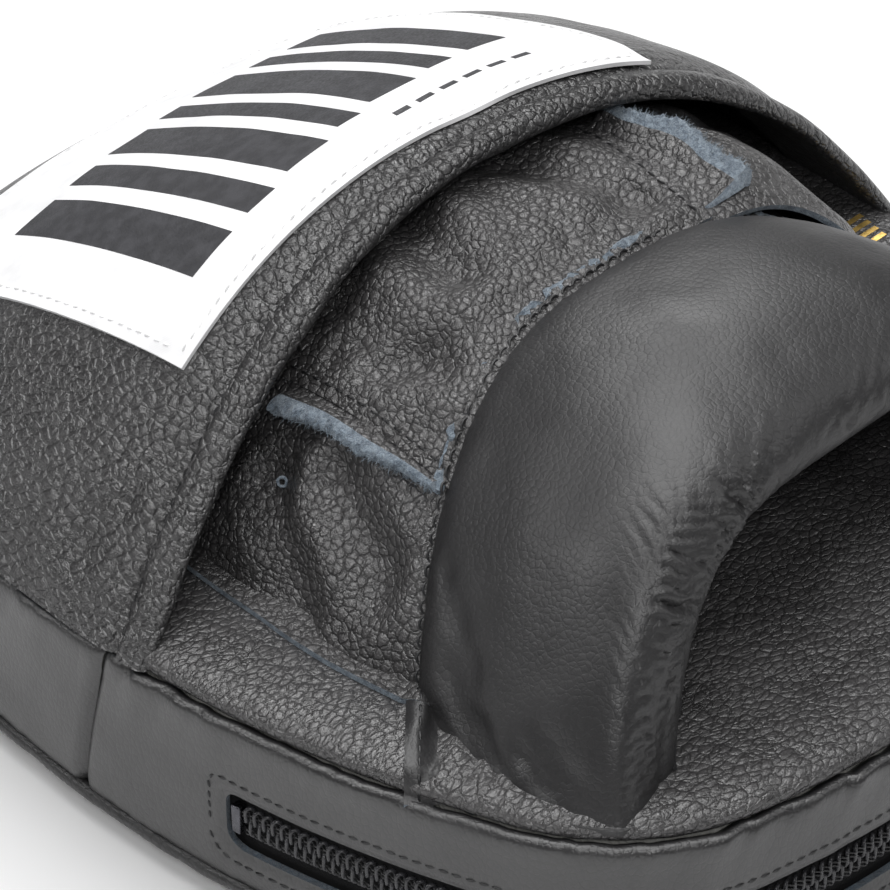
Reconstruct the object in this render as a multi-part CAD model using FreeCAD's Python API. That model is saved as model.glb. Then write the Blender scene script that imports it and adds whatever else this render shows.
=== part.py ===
"""Leather focus mitt (coach's punch pad), lying on its striking face.

Millimetres. +Z is up and is the back of the mitt, +Y points to the fingertips and X runs across.
The origin is the centre of the footprint, on the surface that the striking face lies on.
"""
import FreeCAD, Part
import math
import os
from FreeCAD import Vector

# ---- pad outline seen from above: three tangent arcs on each quarter ----
HALF_WIDTH = 100.0
WIDEST_Y = 12.0
WRIST_LENGTH = 128.0
TIP_LENGTH = 104.0
# radius of the end arc, its half angle, and the angle that the corner arc turns through
WRIST_END = (195.0, 14.0, 52.5)
TIP_END = (420.0, 5.2, 79.0)

# ---- pad heights ----
SEAM_Z = 5.0
FACE_SKIN = 1.8
FACE_STEPS = ((-16.0, 0.0), (-7.0, 1.2), (0.0, SEAM_Z))
WELT_Z = 7.4
WELT_PROUD = 1.3
WELT_DEEP = 2.2
SKIN = 1.8
BACK_Z = 48.0
BACK_BASE_Z = BACK_Z - SKIN
TARGET_RADIUS = 50.0
TARGET_GAP = 0.3
STRIKE_FOAM_TOP = 14.0
CORE_FOAM_TOP = 34.0
RIM_FOAM_INSET = 3.6
CORE_FOAM_INSET = 7.0

# ---- slanted seam that splits the side wall ----
SIDE_SEAM_Y = 8.0
SIDE_SEAM_LEAN = -0.22

# ---- zip in the wrist half of the side wall ----
ZIP_Z = 23.6
WINDOW_HALF_HEIGHT = 6.6
WINDOW_LEFT_Y = -29.0
WINDOW_RIGHT_X = 48.0
COIL_GAP = 1.2
COIL_WIDTH = 2.7
COIL_INSET = 0.2
TAPE_THICKNESS = 0.6
TAPE_WIDTH = 12.0
TAPE_OVERRUN = 6.0
CHAIN_RIGHT_DEG = 13.2
CHAIN_LEFT_Y = WINDOW_LEFT_Y - 2.6
STOP_LENGTH = 1.9
SLIDER_DEG = 11.1
SLIDER_HALF_LENGTH = 7.0
SLIDER_HALF_WIDTH = 4.8
TOP_PLATE = (0.2, 1.3)
LOW_PLATE = (-3.6, -2.7)
FLANGE_WIDTH = 0.9
FLANGE_DEPTH = 1.0
POST_WIDTH = 0.6
BRIDGE_SPAN = 4.4
BRIDGE_HALF_WIDTH = 1.5
BRIDGE_CLEAR = 3.0
BRIDGE_TOP = 4.0
PULL_AXIS_OUT = 2.25
PULL_BAR_RADIUS = 0.55
PULL_THICKNESS = 1.0
PULL_ARM_OUTER = 3.6
PULL_ARM_WIDTH = 1.4
PULL_PLATE_START = 5.2
PULL_LENGTH = 22.0

# ---- hood over the fingers ----
HEM_Y = -12.0
HEM_LEAN = 0.26
HOOD_RISE = 56.1
HOOD_EDGE_INSET = 0.5
HOOD_SHARES = (0.0, 0.2, 0.4, 0.6, 0.76, 0.87, 0.94, 0.98)
HOOD_SKIN = 1.4
HOOD_FOAM_DEPTH = 4.3
HOOD_DEPTH = 5.4
HEM_SKIN = 0.9
HEM_LIP = 1.2
HEM_WIDTH = 7.0
PATCH_THICKNESS = 0.9
PATCH_FROM_HEM = 14.0
PATCH_DEPTH = 95.0
PATCH_LEFT = -64.0
PATCH_RIGHT = 46.0

# ---- arches standing on the back: half width, rise, fullness, foot y, lean of their plane ----
RIM_Y, RIM_LEAN = -105.5, 0.54
ROLL_SEAM_Y, ROLL_SEAM_LEAN = -52.0, 0.556
GLOVE = (
    (72.5, 45.0, 2.7, ROLL_SEAM_Y, ROLL_SEAM_LEAN),
    (76.5, 46.0, 2.6, -12.0, 0.28),
    (74.0, 37.0, 2.4, 25.0, 0.08),
    (62.0, 24.0, 2.3, 55.0, 0.04),
    (40.0, 8.0, 2.2, 80.0, 0.0),
)
ROLL = (
    (57.0, 43.5, 4.0, RIM_Y, RIM_LEAN),
    (67.0, 49.5, 3.3, -98.0, 0.49),
    (74.0, 51.0, 2.9, -76.0, 0.45),
    (72.5, 45.0, 2.7, ROLL_SEAM_Y, ROLL_SEAM_LEAN),
)
TUNNEL = (
    (51.5, 39.5, 4.0, RIM_Y, RIM_LEAN),
    (54.0, 37.0, 3.6, -78.0, 0.5),
    (69.3, 41.7, 2.7, ROLL_SEAM_Y, ROLL_SEAM_LEAN),
)
GLOVE_SKIN = 1.3
GLOVE_DEPTH = 2.1
ROLL_SKIN = 1.4
ROLL_LINING = 1.0
ROLL_LIP = 1.6
ARCH_STEPS = 12

# ---- raw seam edges and strips ----
THUMB_SEAM_X = -50.5
LITTLE_SEAM_X = 35.0
RAW_EDGE_THICKNESS = 3.0
RAW_EDGE_HEIGHT = 5.0
RAW_EDGE_Y = (-36.0, -7.0)
BASE_EDGE_THICKNESS = 1.4
BASE_EDGE_HEIGHT = 3.0
BASE_EDGE_Y = (-44.0, 4.0)
ROLL_EDGE_PROUD = 1.2
ROLL_EDGE_WIDTH = 1.6
STRIP_START = (74.5, -53.0)
STRIP_END = (88.0, -66.0)
STRIP_WIDTH = 9.0
STRIP_THICKNESS = 1.0

FAR = 400.0


# ---------------------------------------------------------------- outline
def quarter(length, end):
    """Centre, radius and heading range of the three arcs from the end of the pad to its widest place."""
    radius, end_half, corner = end[0], math.radians(end[1]), math.radians(end[2])
    turned = end_half + corner
    a, b = math.sin(turned) - math.sin(end_half), 1 - math.sin(turned)
    c, d = math.cos(end_half) - math.cos(turned), math.cos(turned)
    across = HALF_WIDTH - radius * math.sin(end_half)
    along = length - radius * (1 - math.cos(end_half))
    corner_radius = (across * d - b * along) / (a * d - b * c)
    side_radius = (a * along - c * across) / (a * d - b * c)
    end_centre = (0.0, radius - length)
    corner_centre = (
        (radius - corner_radius) * math.sin(end_half),
        end_centre[1] - (radius - corner_radius) * math.cos(end_half),
    )
    side_centre = (
        corner_centre[0] + (corner_radius - side_radius) * math.sin(turned),
        corner_centre[1] - (corner_radius - side_radius) * math.cos(turned),
    )
    return [
        (end_centre, radius, 0.0, end_half),
        (corner_centre, corner_radius, end_half, turned),
        (side_centre, side_radius, turned, math.pi / 2),
    ]


def right_side_arcs():
    """Arcs of the right-hand side, from the wrist end to the tip; heading 0 faces the wrist."""
    wrist = [((x, y + WIDEST_Y), r, h0, h1) for (x, y), r, h0, h1 in quarter(WRIST_LENGTH, WRIST_END)]
    tip = [
        ((x, WIDEST_Y - y), r, math.pi - h1, math.pi - h0)
        for (x, y), r, h0, h1 in reversed(quarter(TIP_LENGTH, TIP_END))
    ]
    return wrist + tip


RIGHT_ARCS = right_side_arcs()
WRIST_CENTRE_Y = RIGHT_ARCS[0][0][1]
WRIST_RADIUS = RIGHT_ARCS[0][1]


def on_arc(centre, radius, heading, side, z):
    return Vector(side * (centre[0] + radius * math.sin(heading)), centre[1] - radius * math.cos(heading), z)


def outline_wire(offset, z):
    """The pad outline, moved outwards by offset, as one closed wire of tangent arcs."""
    edges = []
    for side, arcs in ((1, RIGHT_ARCS), (-1, RIGHT_ARCS[::-1])):
        for centre, radius, h0, h1 in arcs:
            start, end = (h0, h1) if side > 0 else (h1, h0)
            stops = [on_arc(centre, radius + offset, h, side, z) for h in (start, (start + end) / 2, end)]
            edges.append(Part.Arc(*stops).toShape())
    return Part.Wire(edges)


def half_width_at(y):
    """Half width of the outline at y, found by halving the range of headings."""
    low, high = 0.0, math.pi
    for _ in range(40):
        heading = (low + high) / 2
        for centre, radius, h0, h1 in RIGHT_ARCS:
            if h0 <= heading <= h1:
                place = on_arc(centre, radius, heading, 1, 0)
        low, high = (heading, high) if place.y < y else (low, heading)
    return place.x


def slab(offset, z0, z1):
    return Part.Face(outline_wire(offset, z0)).extrude(Vector(0, 0, z1 - z0))


def wall(inner, outer, z0, z1):
    return slab(outer, z0, z1).cut(slab(inner, z0, z1))


def block(x0, x1, y0, y1, z0, z1):
    return Part.makeBox(x1 - x0, y1 - y0, z1 - z0, Vector(x0, y0, z0))


def leaning_block(y0, y1, lean, base_z=BACK_Z):
    """Everything between two parallel planes that cross base_z at y0 and y1 and lean with height."""
    places = ((y0, -FAR), (y1, -FAR), (y1, FAR), (y0, FAR))
    corners = [Vector(-FAR, y + lean * z, base_z + z) for y, z in places]
    return Part.Face(Part.makePolygon(corners + corners[:1])).extrude(Vector(2 * FAR, 0, 0))


# ---------------------------------------------------------------- arches
def arch_wire(half_width, rise, fullness, foot_y, lean):
    """A closed D: an arch standing on the back panel, in a plane that leans towards the fingers."""
    points = []
    for step in range(ARCH_STEPS + 1):
        across = math.sin(math.pi * (step / ARCH_STEPS - 0.5))
        height = rise * (1 - abs(across) ** fullness)
        points.append(Vector(half_width * across, foot_y + lean * height, BACK_Z + height))
    curve = Part.BSplineCurve()
    curve.interpolate(points)
    return Part.Wire([curve.toShape(), Part.makeLine(points[-1], points[0])])


def arch_solid(sections, inset=0.0, first_shift=0.0):
    """A closed loft through the arches, with each drawn in by inset and the first moved along Y."""
    wires = []
    for number, (half_width, rise, fullness, foot_y, lean) in enumerate(sections):
        shift = first_shift if number == 0 else 0.0
        wires.append(arch_wire(half_width - inset, rise - inset, fullness, foot_y + shift, lean))
    return Part.makeLoft(wires, True)


def hood_solid(inset, last=1.0):
    """The hood's dome over the fraction last of its sections' length, drawn in by inset."""
    length = WIDEST_Y + TIP_LENGTH - HEM_Y
    wires = []
    for share in HOOD_SHARES:
        share *= last
        foot_y = HEM_Y + length * share
        rise = HOOD_RISE * (1 - share**1.43) ** 0.8 - inset
        half_width = half_width_at(foot_y) - HOOD_EDGE_INSET - inset
        wires.append(arch_wire(half_width, rise, 2.2 + 0.54 * share, foot_y, HEM_LEAN * (1 - share)))
    return Part.makeLoft(wires, True)


# ---------------------------------------------------------------- pad
def make_pad():
    face_outer = Part.makeLoft([outline_wire(offset, z) for offset, z in FACE_STEPS], True, True)
    inner_steps = [(offset - 0.6, z + FACE_SKIN) for offset, z in FACE_STEPS[:-1]] + [(-WELT_DEEP, SEAM_Z)]
    face_inner = Part.makeLoft([outline_wire(offset, z) for offset, z in inner_steps], True, True)
    target_hole = Part.makeCylinder(TARGET_RADIUS, FACE_SKIN)
    side_wall = wall(-SKIN, 0, WELT_Z, BACK_BASE_Z)
    wrist_side = leaning_block(-FAR, SIDE_SEAM_Y, SIDE_SEAM_LEAN, base_z=WELT_Z)
    window = wall(-SKIN - 1, 1, ZIP_Z - WINDOW_HALF_HEIGHT, ZIP_Z + WINDOW_HALF_HEIGHT)
    window = window.common(block(-FAR, WINDOW_RIGHT_X, -FAR, WINDOW_LEFT_Y, 0, BACK_Z))
    return {
        "target_panel": face_outer.cut(face_inner).cut(target_hole),
        "target_disc": Part.makeCylinder(TARGET_RADIUS - TARGET_GAP, FACE_SKIN),
        "front_welt": wall(-WELT_DEEP, WELT_PROUD, SEAM_Z, WELT_Z),
        "gusset_tip": side_wall.cut(wrist_side),
        "gusset_wrist": side_wall.common(wrist_side).cut(window),
        "back_panel": slab(0, BACK_BASE_Z, BACK_Z),
        "foam_strike": face_inner.fuse(slab(-RIM_FOAM_INSET, SEAM_Z, STRIKE_FOAM_TOP)).removeSplitter(),
        "foam_core": slab(-CORE_FOAM_INSET, STRIKE_FOAM_TOP, CORE_FOAM_TOP),
        "foam_back": slab(-RIM_FOAM_INSET, CORE_FOAM_TOP, BACK_BASE_Z),
    }


# ---------------------------------------------------------------- zip
def wrist_block(deg0, deg1, out0, out1, z0, z1):
    """A block that follows the wrist arc between two headings, out0 to out1 beyond the side wall."""
    centre = Vector(0, WRIST_CENTRE_Y, z0)
    sector = Part.makeCylinder(WRIST_RADIUS + out1, z1 - z0, centre, Vector(0, 0, 1), deg1 - deg0)
    sector.rotate(centre, Vector(0, 0, 1), deg0 - 90)
    return sector.cut(Part.makeCylinder(WRIST_RADIUS + out0, z1 - z0, centre))


def on_slider(shape):
    """Move a shape drawn at the middle of the wrist end to where the slider rests."""
    shape.rotate(Vector(0, WRIST_CENTRE_Y, 0), Vector(0, 0, 1), SLIDER_DEG)
    return shape


def slider_box(along0, along1, out0, out1, z0, z1):
    """A box at the middle of the wrist end: along X, outwards from the side wall, and up from the zip."""
    wall_y = WRIST_CENTRE_Y - WRIST_RADIUS
    return block(along0, along1, wall_y - out1, wall_y - out0, ZIP_Z + z0, ZIP_Z + z1)


def make_zip():
    tape_back = -SKIN - TAPE_THICKNESS
    tape_room = block(-FAR, WINDOW_RIGHT_X + TAPE_OVERRUN, -FAR, WINDOW_LEFT_Y + TAPE_OVERRUN, 0, BACK_Z)
    chain_right_x = WRIST_RADIUS * math.sin(math.radians(CHAIN_RIGHT_DEG))
    chain_room = block(-FAR, chain_right_x, -FAR, CHAIN_LEFT_Y, 0, BACK_Z)
    half_gap = COIL_GAP / 2
    parts = {}
    for name, side in (("upper", 1), ("lower", -1)):
        tape = sorted((ZIP_Z + side * half_gap, ZIP_Z + side * (half_gap + TAPE_WIDTH)))
        coil = sorted((ZIP_Z + side * half_gap, ZIP_Z + side * (half_gap + COIL_WIDTH)))
        parts["zip_tape_" + name] = wall(tape_back, -SKIN, *tape).common(tape_room)
        parts["zip_coil_" + name] = wall(-SKIN, -COIL_INSET, *coil).common(chain_room)
    stop_half = half_gap + COIL_WIDTH
    stop_ring = wall(-SKIN, COIL_INSET, ZIP_Z - stop_half, ZIP_Z + stop_half)
    start_y = CHAIN_LEFT_Y + 0.1
    parts["zip_start_stop"] = stop_ring.common(block(-FAR, 0, start_y, start_y + STOP_LENGTH, 0, BACK_Z))
    end_x = chain_right_x + 0.1
    parts["zip_end_stop"] = stop_ring.common(block(end_x, end_x + STOP_LENGTH, -FAR, 0, 0, BACK_Z))
    parts["zip_slider"] = make_slider()
    parts["zip_pull"] = make_pull()
    return parts


def make_slider():
    reach = math.degrees(SLIDER_HALF_LENGTH / WRIST_RADIUS)
    low_z, high_z = ZIP_Z - SLIDER_HALF_WIDTH, ZIP_Z + SLIDER_HALF_WIDTH
    body = wrist_block(-reach, reach, *TOP_PLATE, low_z, high_z)
    body = body.fuse(wrist_block(-reach, reach, *LOW_PLATE, low_z, high_z))
    for z0 in (low_z, high_z - FLANGE_WIDTH):
        body = body.fuse(wrist_block(-reach, reach, -FLANGE_DEPTH, TOP_PLATE[0], z0, z0 + FLANGE_WIDTH))
    post = (ZIP_Z - POST_WIDTH / 2, ZIP_Z + POST_WIDTH / 2)
    body = body.fuse(wrist_block(0.2 * reach, 0.9 * reach, LOW_PLATE[1], TOP_PLATE[0], *post))
    leg = BRIDGE_SPAN - PULL_THICKNESS
    half = BRIDGE_HALF_WIDTH
    for along0, along1 in ((-BRIDGE_SPAN, -leg), (leg, BRIDGE_SPAN)):
        body = body.fuse(slider_box(along0, along1, TOP_PLATE[1] - 0.5, BRIDGE_CLEAR, -half, half))
    body = body.fuse(slider_box(-BRIDGE_SPAN, BRIDGE_SPAN, BRIDGE_CLEAR, BRIDGE_TOP, -half, half))
    return on_slider(body.removeSplitter())


def make_pull():
    """The tab: a bar under the slider's bridge, two arms past the bridge and a plate with a slot."""
    low, high = PULL_AXIS_OUT - PULL_THICKNESS / 2, PULL_AXIS_OUT + PULL_THICKNESS / 2
    plate_round = PULL_LENGTH - PULL_ARM_OUTER
    wall_y = WRIST_CENTRE_Y - WRIST_RADIUS
    tab = slider_box(PULL_PLATE_START, plate_round, low, high, -PULL_ARM_OUTER, PULL_ARM_OUTER)
    end = Vector(plate_round, wall_y - low, ZIP_Z)
    tab = tab.fuse(Part.makeCylinder(PULL_ARM_OUTER, PULL_THICKNESS, end, Vector(0, -1, 0)))
    slot_half = PULL_ARM_OUTER - PULL_ARM_WIDTH
    tab = tab.cut(slider_box(PULL_PLATE_START + 5, plate_round, low, high, -slot_half, slot_half))
    for z0 in (-PULL_ARM_OUTER, slot_half):
        tab = tab.fuse(slider_box(0, PULL_PLATE_START, low, high, z0, z0 + PULL_ARM_WIDTH))
    bar_foot = Vector(0, wall_y - PULL_AXIS_OUT, ZIP_Z - PULL_ARM_OUTER)
    tab = tab.fuse(Part.makeCylinder(PULL_BAR_RADIUS, 2 * PULL_ARM_OUTER, bar_foot))
    return on_slider(tab.removeSplitter())


# ---------------------------------------------------------------- glove and wrist roll
def make_glove():
    outside = arch_solid(GLOVE)
    skin = outside.cut(arch_solid(GLOVE, GLOVE_SKIN))
    lining = arch_solid(GLOVE, GLOVE_SKIN).cut(arch_solid(GLOVE, GLOVE_DEPTH))
    centre = block(THUMB_SEAM_X, LITTLE_SEAM_X, -FAR, FAR, 0, FAR)
    past_roll = leaning_block(ROLL_SEAM_Y + ROLL_EDGE_WIDTH, FAR, ROLL_SEAM_LEAN)
    parts = {"glove_centre_panel": skin.common(centre), "glove_lining": lining}
    raw = arch_solid(GLOVE, -RAW_EDGE_HEIGHT).cut(outside).common(past_roll)
    base = arch_solid(GLOVE, -BASE_EDGE_THICKNESS).cut(outside).common(past_roll)
    for name, side, seam_x in (("thumb", -1, THUMB_SEAM_X), ("little", 1, LITTLE_SEAM_X)):
        outer_half = block(*sorted((seam_x, side * FAR)), -FAR, FAR, 0, FAR)
        parts["glove_%s_panel" % name] = skin.common(outer_half)
        seam = sorted((seam_x, seam_x + side * RAW_EDGE_THICKNESS))
        parts["seam_edge_" + name] = raw.common(block(*seam, *RAW_EDGE_Y, 0, FAR))
        foot = block(*sorted((0, side * FAR)), *BASE_EDGE_Y, BACK_Z, BACK_Z + BASE_EDGE_HEIGHT)
        parts["seam_edge_%s_base" % name] = base.common(foot)
    return parts


def make_roll():
    tunnel = arch_solid(TUNNEL)
    lined = arch_solid(TUNNEL, -ROLL_LINING, ROLL_LIP)
    cavity = arch_solid(ROLL, ROLL_SKIN, ROLL_LIP)
    edge_band = leaning_block(ROLL_SEAM_Y, ROLL_SEAM_Y + ROLL_EDGE_WIDTH, ROLL_SEAM_LEAN)
    edge = arch_solid(GLOVE, -ROLL_EDGE_PROUD).cut(arch_solid(GLOVE))
    parts = {
        "roll_cover": arch_solid(ROLL).cut(cavity).cut(tunnel),
        "roll_foam": cavity.cut(lined),
        "roll_lining": lined.cut(tunnel),
        "roll_seam_edge": edge.common(edge_band),
    }
    run = Vector(STRIP_END[0] - STRIP_START[0], STRIP_END[1] - STRIP_START[1], 0)
    turn = math.degrees(math.atan2(run.y, run.x))
    for name, side in (("left", -1), ("right", 1)):
        strip = Part.makeBox(run.Length, STRIP_WIDTH, STRIP_THICKNESS, Vector(0, -STRIP_WIDTH, 0))
        strip.rotate(Vector(0, 0, 0), Vector(0, 0, 1), turn)
        strip.translate(Vector(STRIP_START[0], STRIP_START[1], BACK_Z))
        strip = strip.cut(arch_solid(ROLL))
        if side < 0:
            strip = strip.mirror(Vector(0, 0, 0), Vector(1, 0, 0))
        parts["roll_strap_" + name] = strip
    return parts


# ---------------------------------------------------------------- hood
def make_hood():
    outer = hood_solid(0)
    under_cover = hood_solid(HOOD_SKIN, 0.975)
    under_foam = hood_solid(HOOD_FOAM_DEPTH, 0.93)
    inside = hood_solid(HOOD_DEPTH, 0.9)
    hem_outside = hood_solid(-HEM_SKIN)
    patch_outside = hood_solid(-PATCH_THICKNESS)
    lip = leaning_block(HEM_Y, HEM_Y + HEM_LIP, HEM_LEAN)
    fold = leaning_block(HEM_Y, HEM_Y + HEM_WIDTH, HEM_LEAN)
    patch_start = HEM_Y + PATCH_FROM_HEM
    patch_area = leaning_block(patch_start, patch_start + PATCH_DEPTH, HEM_LEAN).common(
        block(PATCH_LEFT, PATCH_RIGHT, -FAR, FAR, BACK_Z, FAR)
    )
    behind_lip = leaning_block(HEM_Y + HEM_LIP, FAR, HEM_LEAN)
    hem = hem_outside.common(fold).cut(inside).cut(outer.common(behind_lip))
    return {
        "hood_cover": outer.cut(under_cover).cut(lip),
        "hood_foam": under_cover.cut(under_foam).cut(lip),
        "hood_lining": under_foam.cut(inside).cut(lip),
        "hood_hem": hem,
        "hood_patch": patch_outside.cut(outer).common(patch_area),
    }


def main():
    os.makedirs("parts", exist_ok=True)
    for group in (make_pad(), make_zip(), make_glove(), make_roll(), make_hood()):
        for name, shape in group.items():
            solids = shape.Solids
            kept = solids[0] if len(solids) == 1 else Part.makeCompound(solids)
            box = kept.BoundBox
            print(
                "%-24s solids %d valid %s volume %9.1f  x %.1f..%.1f  y %.1f..%.1f  z %.1f..%.1f"
                % (name, len(solids), kept.isValid(), kept.Volume, box.XMin, box.XMax, box.YMin, box.YMax,
                   box.ZMin, box.ZMax)
            )
            kept.exportStep("parts/%s.step" % name)


main()
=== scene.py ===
import bpy
import math
import numpy as np
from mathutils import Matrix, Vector


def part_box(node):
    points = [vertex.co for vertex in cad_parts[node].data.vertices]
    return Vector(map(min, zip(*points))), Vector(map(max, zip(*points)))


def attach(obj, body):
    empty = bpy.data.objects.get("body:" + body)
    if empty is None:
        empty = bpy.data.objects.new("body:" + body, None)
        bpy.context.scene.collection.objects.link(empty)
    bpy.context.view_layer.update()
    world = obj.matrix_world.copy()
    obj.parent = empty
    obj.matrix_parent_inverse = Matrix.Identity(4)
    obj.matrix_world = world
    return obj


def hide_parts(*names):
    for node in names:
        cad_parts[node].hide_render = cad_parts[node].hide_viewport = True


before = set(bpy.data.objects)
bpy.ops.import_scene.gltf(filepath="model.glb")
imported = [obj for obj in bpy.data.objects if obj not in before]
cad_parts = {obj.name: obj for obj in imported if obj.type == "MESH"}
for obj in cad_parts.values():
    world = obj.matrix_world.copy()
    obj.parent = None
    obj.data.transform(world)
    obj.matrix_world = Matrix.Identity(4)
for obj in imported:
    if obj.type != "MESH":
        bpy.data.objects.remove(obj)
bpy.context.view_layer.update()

MM = 0.001


def cad_box(node):
    """The lowest and highest corners of a CAD node at rest, in millimetres."""
    low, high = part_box(node)
    return np.array(low) / MM, np.array(high) / MM


# ---------------------------------------------------------------- sizes from the frame
PAD_LOW, PAD_HIGH = cad_box("back_panel")
HALF_WIDTH = PAD_HIGH[0]
WRIST_Y, TIP_Y = PAD_LOW[1], PAD_HIGH[1]
BACK_Z = PAD_HIGH[2]
SKIN = PAD_HIGH[2] - PAD_LOW[2]
WELT_LOW, WELT_HIGH = cad_box("front_welt")
SEAM_Z, WELT_Z = WELT_LOW[2], WELT_HIGH[2]
HEM_Y = cad_box("hood_hem")[0][1]
HOOD_TOP = cad_box("hood_cover")[1][2]
COIL_LOW = cad_box("zip_coil_lower")
COIL_HIGH = cad_box("zip_coil_upper")
ZIP_Z = (COIL_LOW[0][2] + COIL_HIGH[1][2]) / 2
# thickness of the leather of the side wall, the striking face and the back
HIDE = 1.4
WINDOW_HALF = 6.6
WINDOW_LEFT_Y = cad_box("zip_start_stop")[1][1] + 0.7
WINDOW_RIGHT_X = cad_box("zip_end_stop")[1][0] + 1.5

# ---------------------------------------------------------------- outline of the pad, seen from above
WIDEST_Y = 12.0
WRIST_END = (195.0, 14.0, 52.5)
TIP_END = (420.0, 5.2, 79.0)


def quarter(length, end):
    """Centre, radius and heading range of the three tangent arcs from an end to the widest place."""
    radius, half, turned = end[0], math.radians(end[1]), math.radians(end[1] + end[2])
    a, b = math.sin(turned) - math.sin(half), 1 - math.sin(turned)
    c, d = math.cos(half) - math.cos(turned), math.cos(turned)
    across, along = HALF_WIDTH - radius * math.sin(half), length - radius * (1 - math.cos(half))
    corner = (across * d - b * along) / (a * d - b * c)
    side = (a * along - c * across) / (a * d - b * c)
    first = (0.0, radius - length)
    second = (
        (radius - corner) * math.sin(half),
        first[1] - (radius - corner) * math.cos(half),
    )
    third = (
        second[0] + (corner - side) * math.sin(turned),
        second[1] - (corner - side) * math.cos(turned),
    )
    return [(first, radius, 0, half), (second, corner, half, turned), (third, side, turned, math.pi / 2)]


def path_lengths(points):
    """Lengths along a path to each of its points."""
    return np.concatenate([[0], np.cumsum(np.linalg.norm(np.diff(points, axis=0), axis=1))])


def outline_table():
    """Points, outward normals and lengths once round the outline, from the middle of the wrist end."""
    points, normals = [], []
    for (x, y), radius, h0, h1 in quarter(WIDEST_Y - WRIST_Y, WRIST_END):
        for heading in np.linspace(h0, h1, 300, endpoint=False):
            n = (math.sin(heading), -math.cos(heading))
            points.append((x + radius * n[0], WIDEST_Y + y + radius * n[1]))
            normals.append(n)
    for (x, y), radius, h0, h1 in reversed(quarter(TIP_Y - WIDEST_Y, TIP_END)):
        for heading in np.linspace(h1, h0, 300, endpoint=False):
            n = (math.sin(heading), math.cos(heading))
            points.append((x + radius * n[0], WIDEST_Y - y + radius * n[1]))
            normals.append(n)
    points, normals = np.array(points), np.array(normals)
    flip = np.array([-1, 1])
    points = np.vstack([points, [(0, TIP_Y)], points[:0:-1] * flip, points[:1]])
    normals = np.vstack([normals, [(0, 1)], normals[:0:-1] * flip, normals[:1]])
    return points, normals, path_lengths(points)


OUTLINE, OUTWARD, ALONG = outline_table()
ROUND = ALONG[-1]
RIGHT_COUNT = len(OUTLINE) // 2 + 1


def ring(s, out, z):
    """Points of the side wall: s along the outline from the middle of the wrist end, out beyond it."""
    s, out, z = np.broadcast_arrays(np.asarray(s, float), out, z)
    s = np.mod(s, ROUND)
    x, y = (np.interp(s, ALONG, OUTLINE[:, k]) for k in (0, 1))
    nx, ny = (np.interp(s, ALONG, OUTWARD[:, k]) for k in (0, 1))
    return np.stack([x + out * nx, y + out * ny, z], -1)


def ring_normal(s):
    s = np.mod(np.asarray(s, float), ROUND)
    n = np.stack([np.interp(s, ALONG, OUTWARD[:, 0]), np.interp(s, ALONG, OUTWARD[:, 1]), s * 0], -1)
    return n / np.linalg.norm(n, axis=-1, keepdims=True)


def side_at(y):
    """Length along the outline to the place on the right side that has this y."""
    return np.interp(y, OUTLINE[:RIGHT_COUNT, 1], ALONG[:RIGHT_COUNT])


def half_width_at(y):
    return np.interp(y, OUTLINE[:RIGHT_COUNT, 1], OUTLINE[:RIGHT_COUNT, 0])


# ---------------------------------------------------------------- repeatable noise and curves
def lattice(cells, seed):
    """A repeatable number from 0 to 1 for each whole-number cell."""
    c = cells.astype(np.int64)
    n = (c[..., 0] * 374761 + c[..., 1] * 668265 + c[..., 2] * 982451 + seed * 69069) & 0x7FFFFFFF
    n = ((n ^ (n >> 13)) * 1274126177) & 0x7FFFFFFF
    n = ((n ^ (n >> 15)) * 846721) & 0x7FFFFFFF
    return ((n ^ (n >> 16)) & 0xFFFF) / 65535.0


def noise(places, seed=0):
    """Smooth value noise from -1 to 1, with cells one unit wide."""
    base = np.floor(places)
    f = places - base
    f = f * f * f * (f * (f * 6 - 15) + 10)
    total = 0.0
    for corner in np.ndindex(2, 2, 2):
        weight = np.prod(np.where(corner, f, 1 - f), axis=-1)
        total = total + weight * lattice(base + corner, seed)
    return total * 2 - 1


def noise_at(x, y, z, seed):
    """Noise at places given by their three coordinates."""
    return noise(np.stack(np.broadcast_arrays(x, y, z), -1), seed)


def fractal(places, seed=0, octaves=3):
    total, size = 0.0, 1.0
    for octave in range(octaves):
        total = total + noise(places / size, seed + octave * 17) * size
        size *= 0.5
    return total / 1.6


def smooth_step(value, low, high):
    t = np.clip((value - low) / (high - low), 0, 1)
    return t * t * (3 - 2 * t)


def spline(knots, t):
    """Values on a smooth curve through the knots, at the places t counted in knots."""
    knots = np.asarray(knots, float)
    t = np.asarray(t, float)
    i = np.clip(np.floor(t).astype(int), 0, len(knots) - 2)
    f = (t - i)[..., None]
    before, after = np.maximum(i - 1, 0), np.minimum(i + 2, len(knots) - 1)
    p0, p1, p2, p3 = knots[before], knots[i], knots[i + 1], knots[after]
    return 0.5 * (
        2 * p1 + (p2 - p0) * f + (2 * p0 - 5 * p1 + 4 * p2 - p3) * f**2 + (3 * p1 - p0 - 3 * p2 + p3) * f**3
    )


def even(knots, step):
    """Knot counts at which a curve through the knots has points about step apart."""
    t = np.linspace(0, len(knots) - 1, 40 * len(knots))
    lengths = path_lengths(spline(knots, t))
    return np.interp(np.linspace(0, lengths[-1], max(4, int(lengths[-1] / step) + 1)), lengths, t)


def run_lengths(grid, axis):
    steps = np.linalg.norm(np.diff(grid, axis=axis), axis=-1)
    start = np.zeros_like(steps[:1] if axis == 0 else steps[:, :1])
    return np.concatenate([start, np.cumsum(steps, axis=axis)], axis=axis)


# ---------------------------------------------------------------- meshes
def unit(vectors):
    return vectors / np.maximum(np.linalg.norm(vectors, axis=-1, keepdims=True), 1e-9)


def grid_normals(grid, wrap=False):
    if wrap:
        du = np.roll(grid, -1, 0) - np.roll(grid, 1, 0)
    else:
        du = np.gradient(grid, axis=0)
    return unit(np.cross(du, np.gradient(grid, axis=1)))


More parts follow.
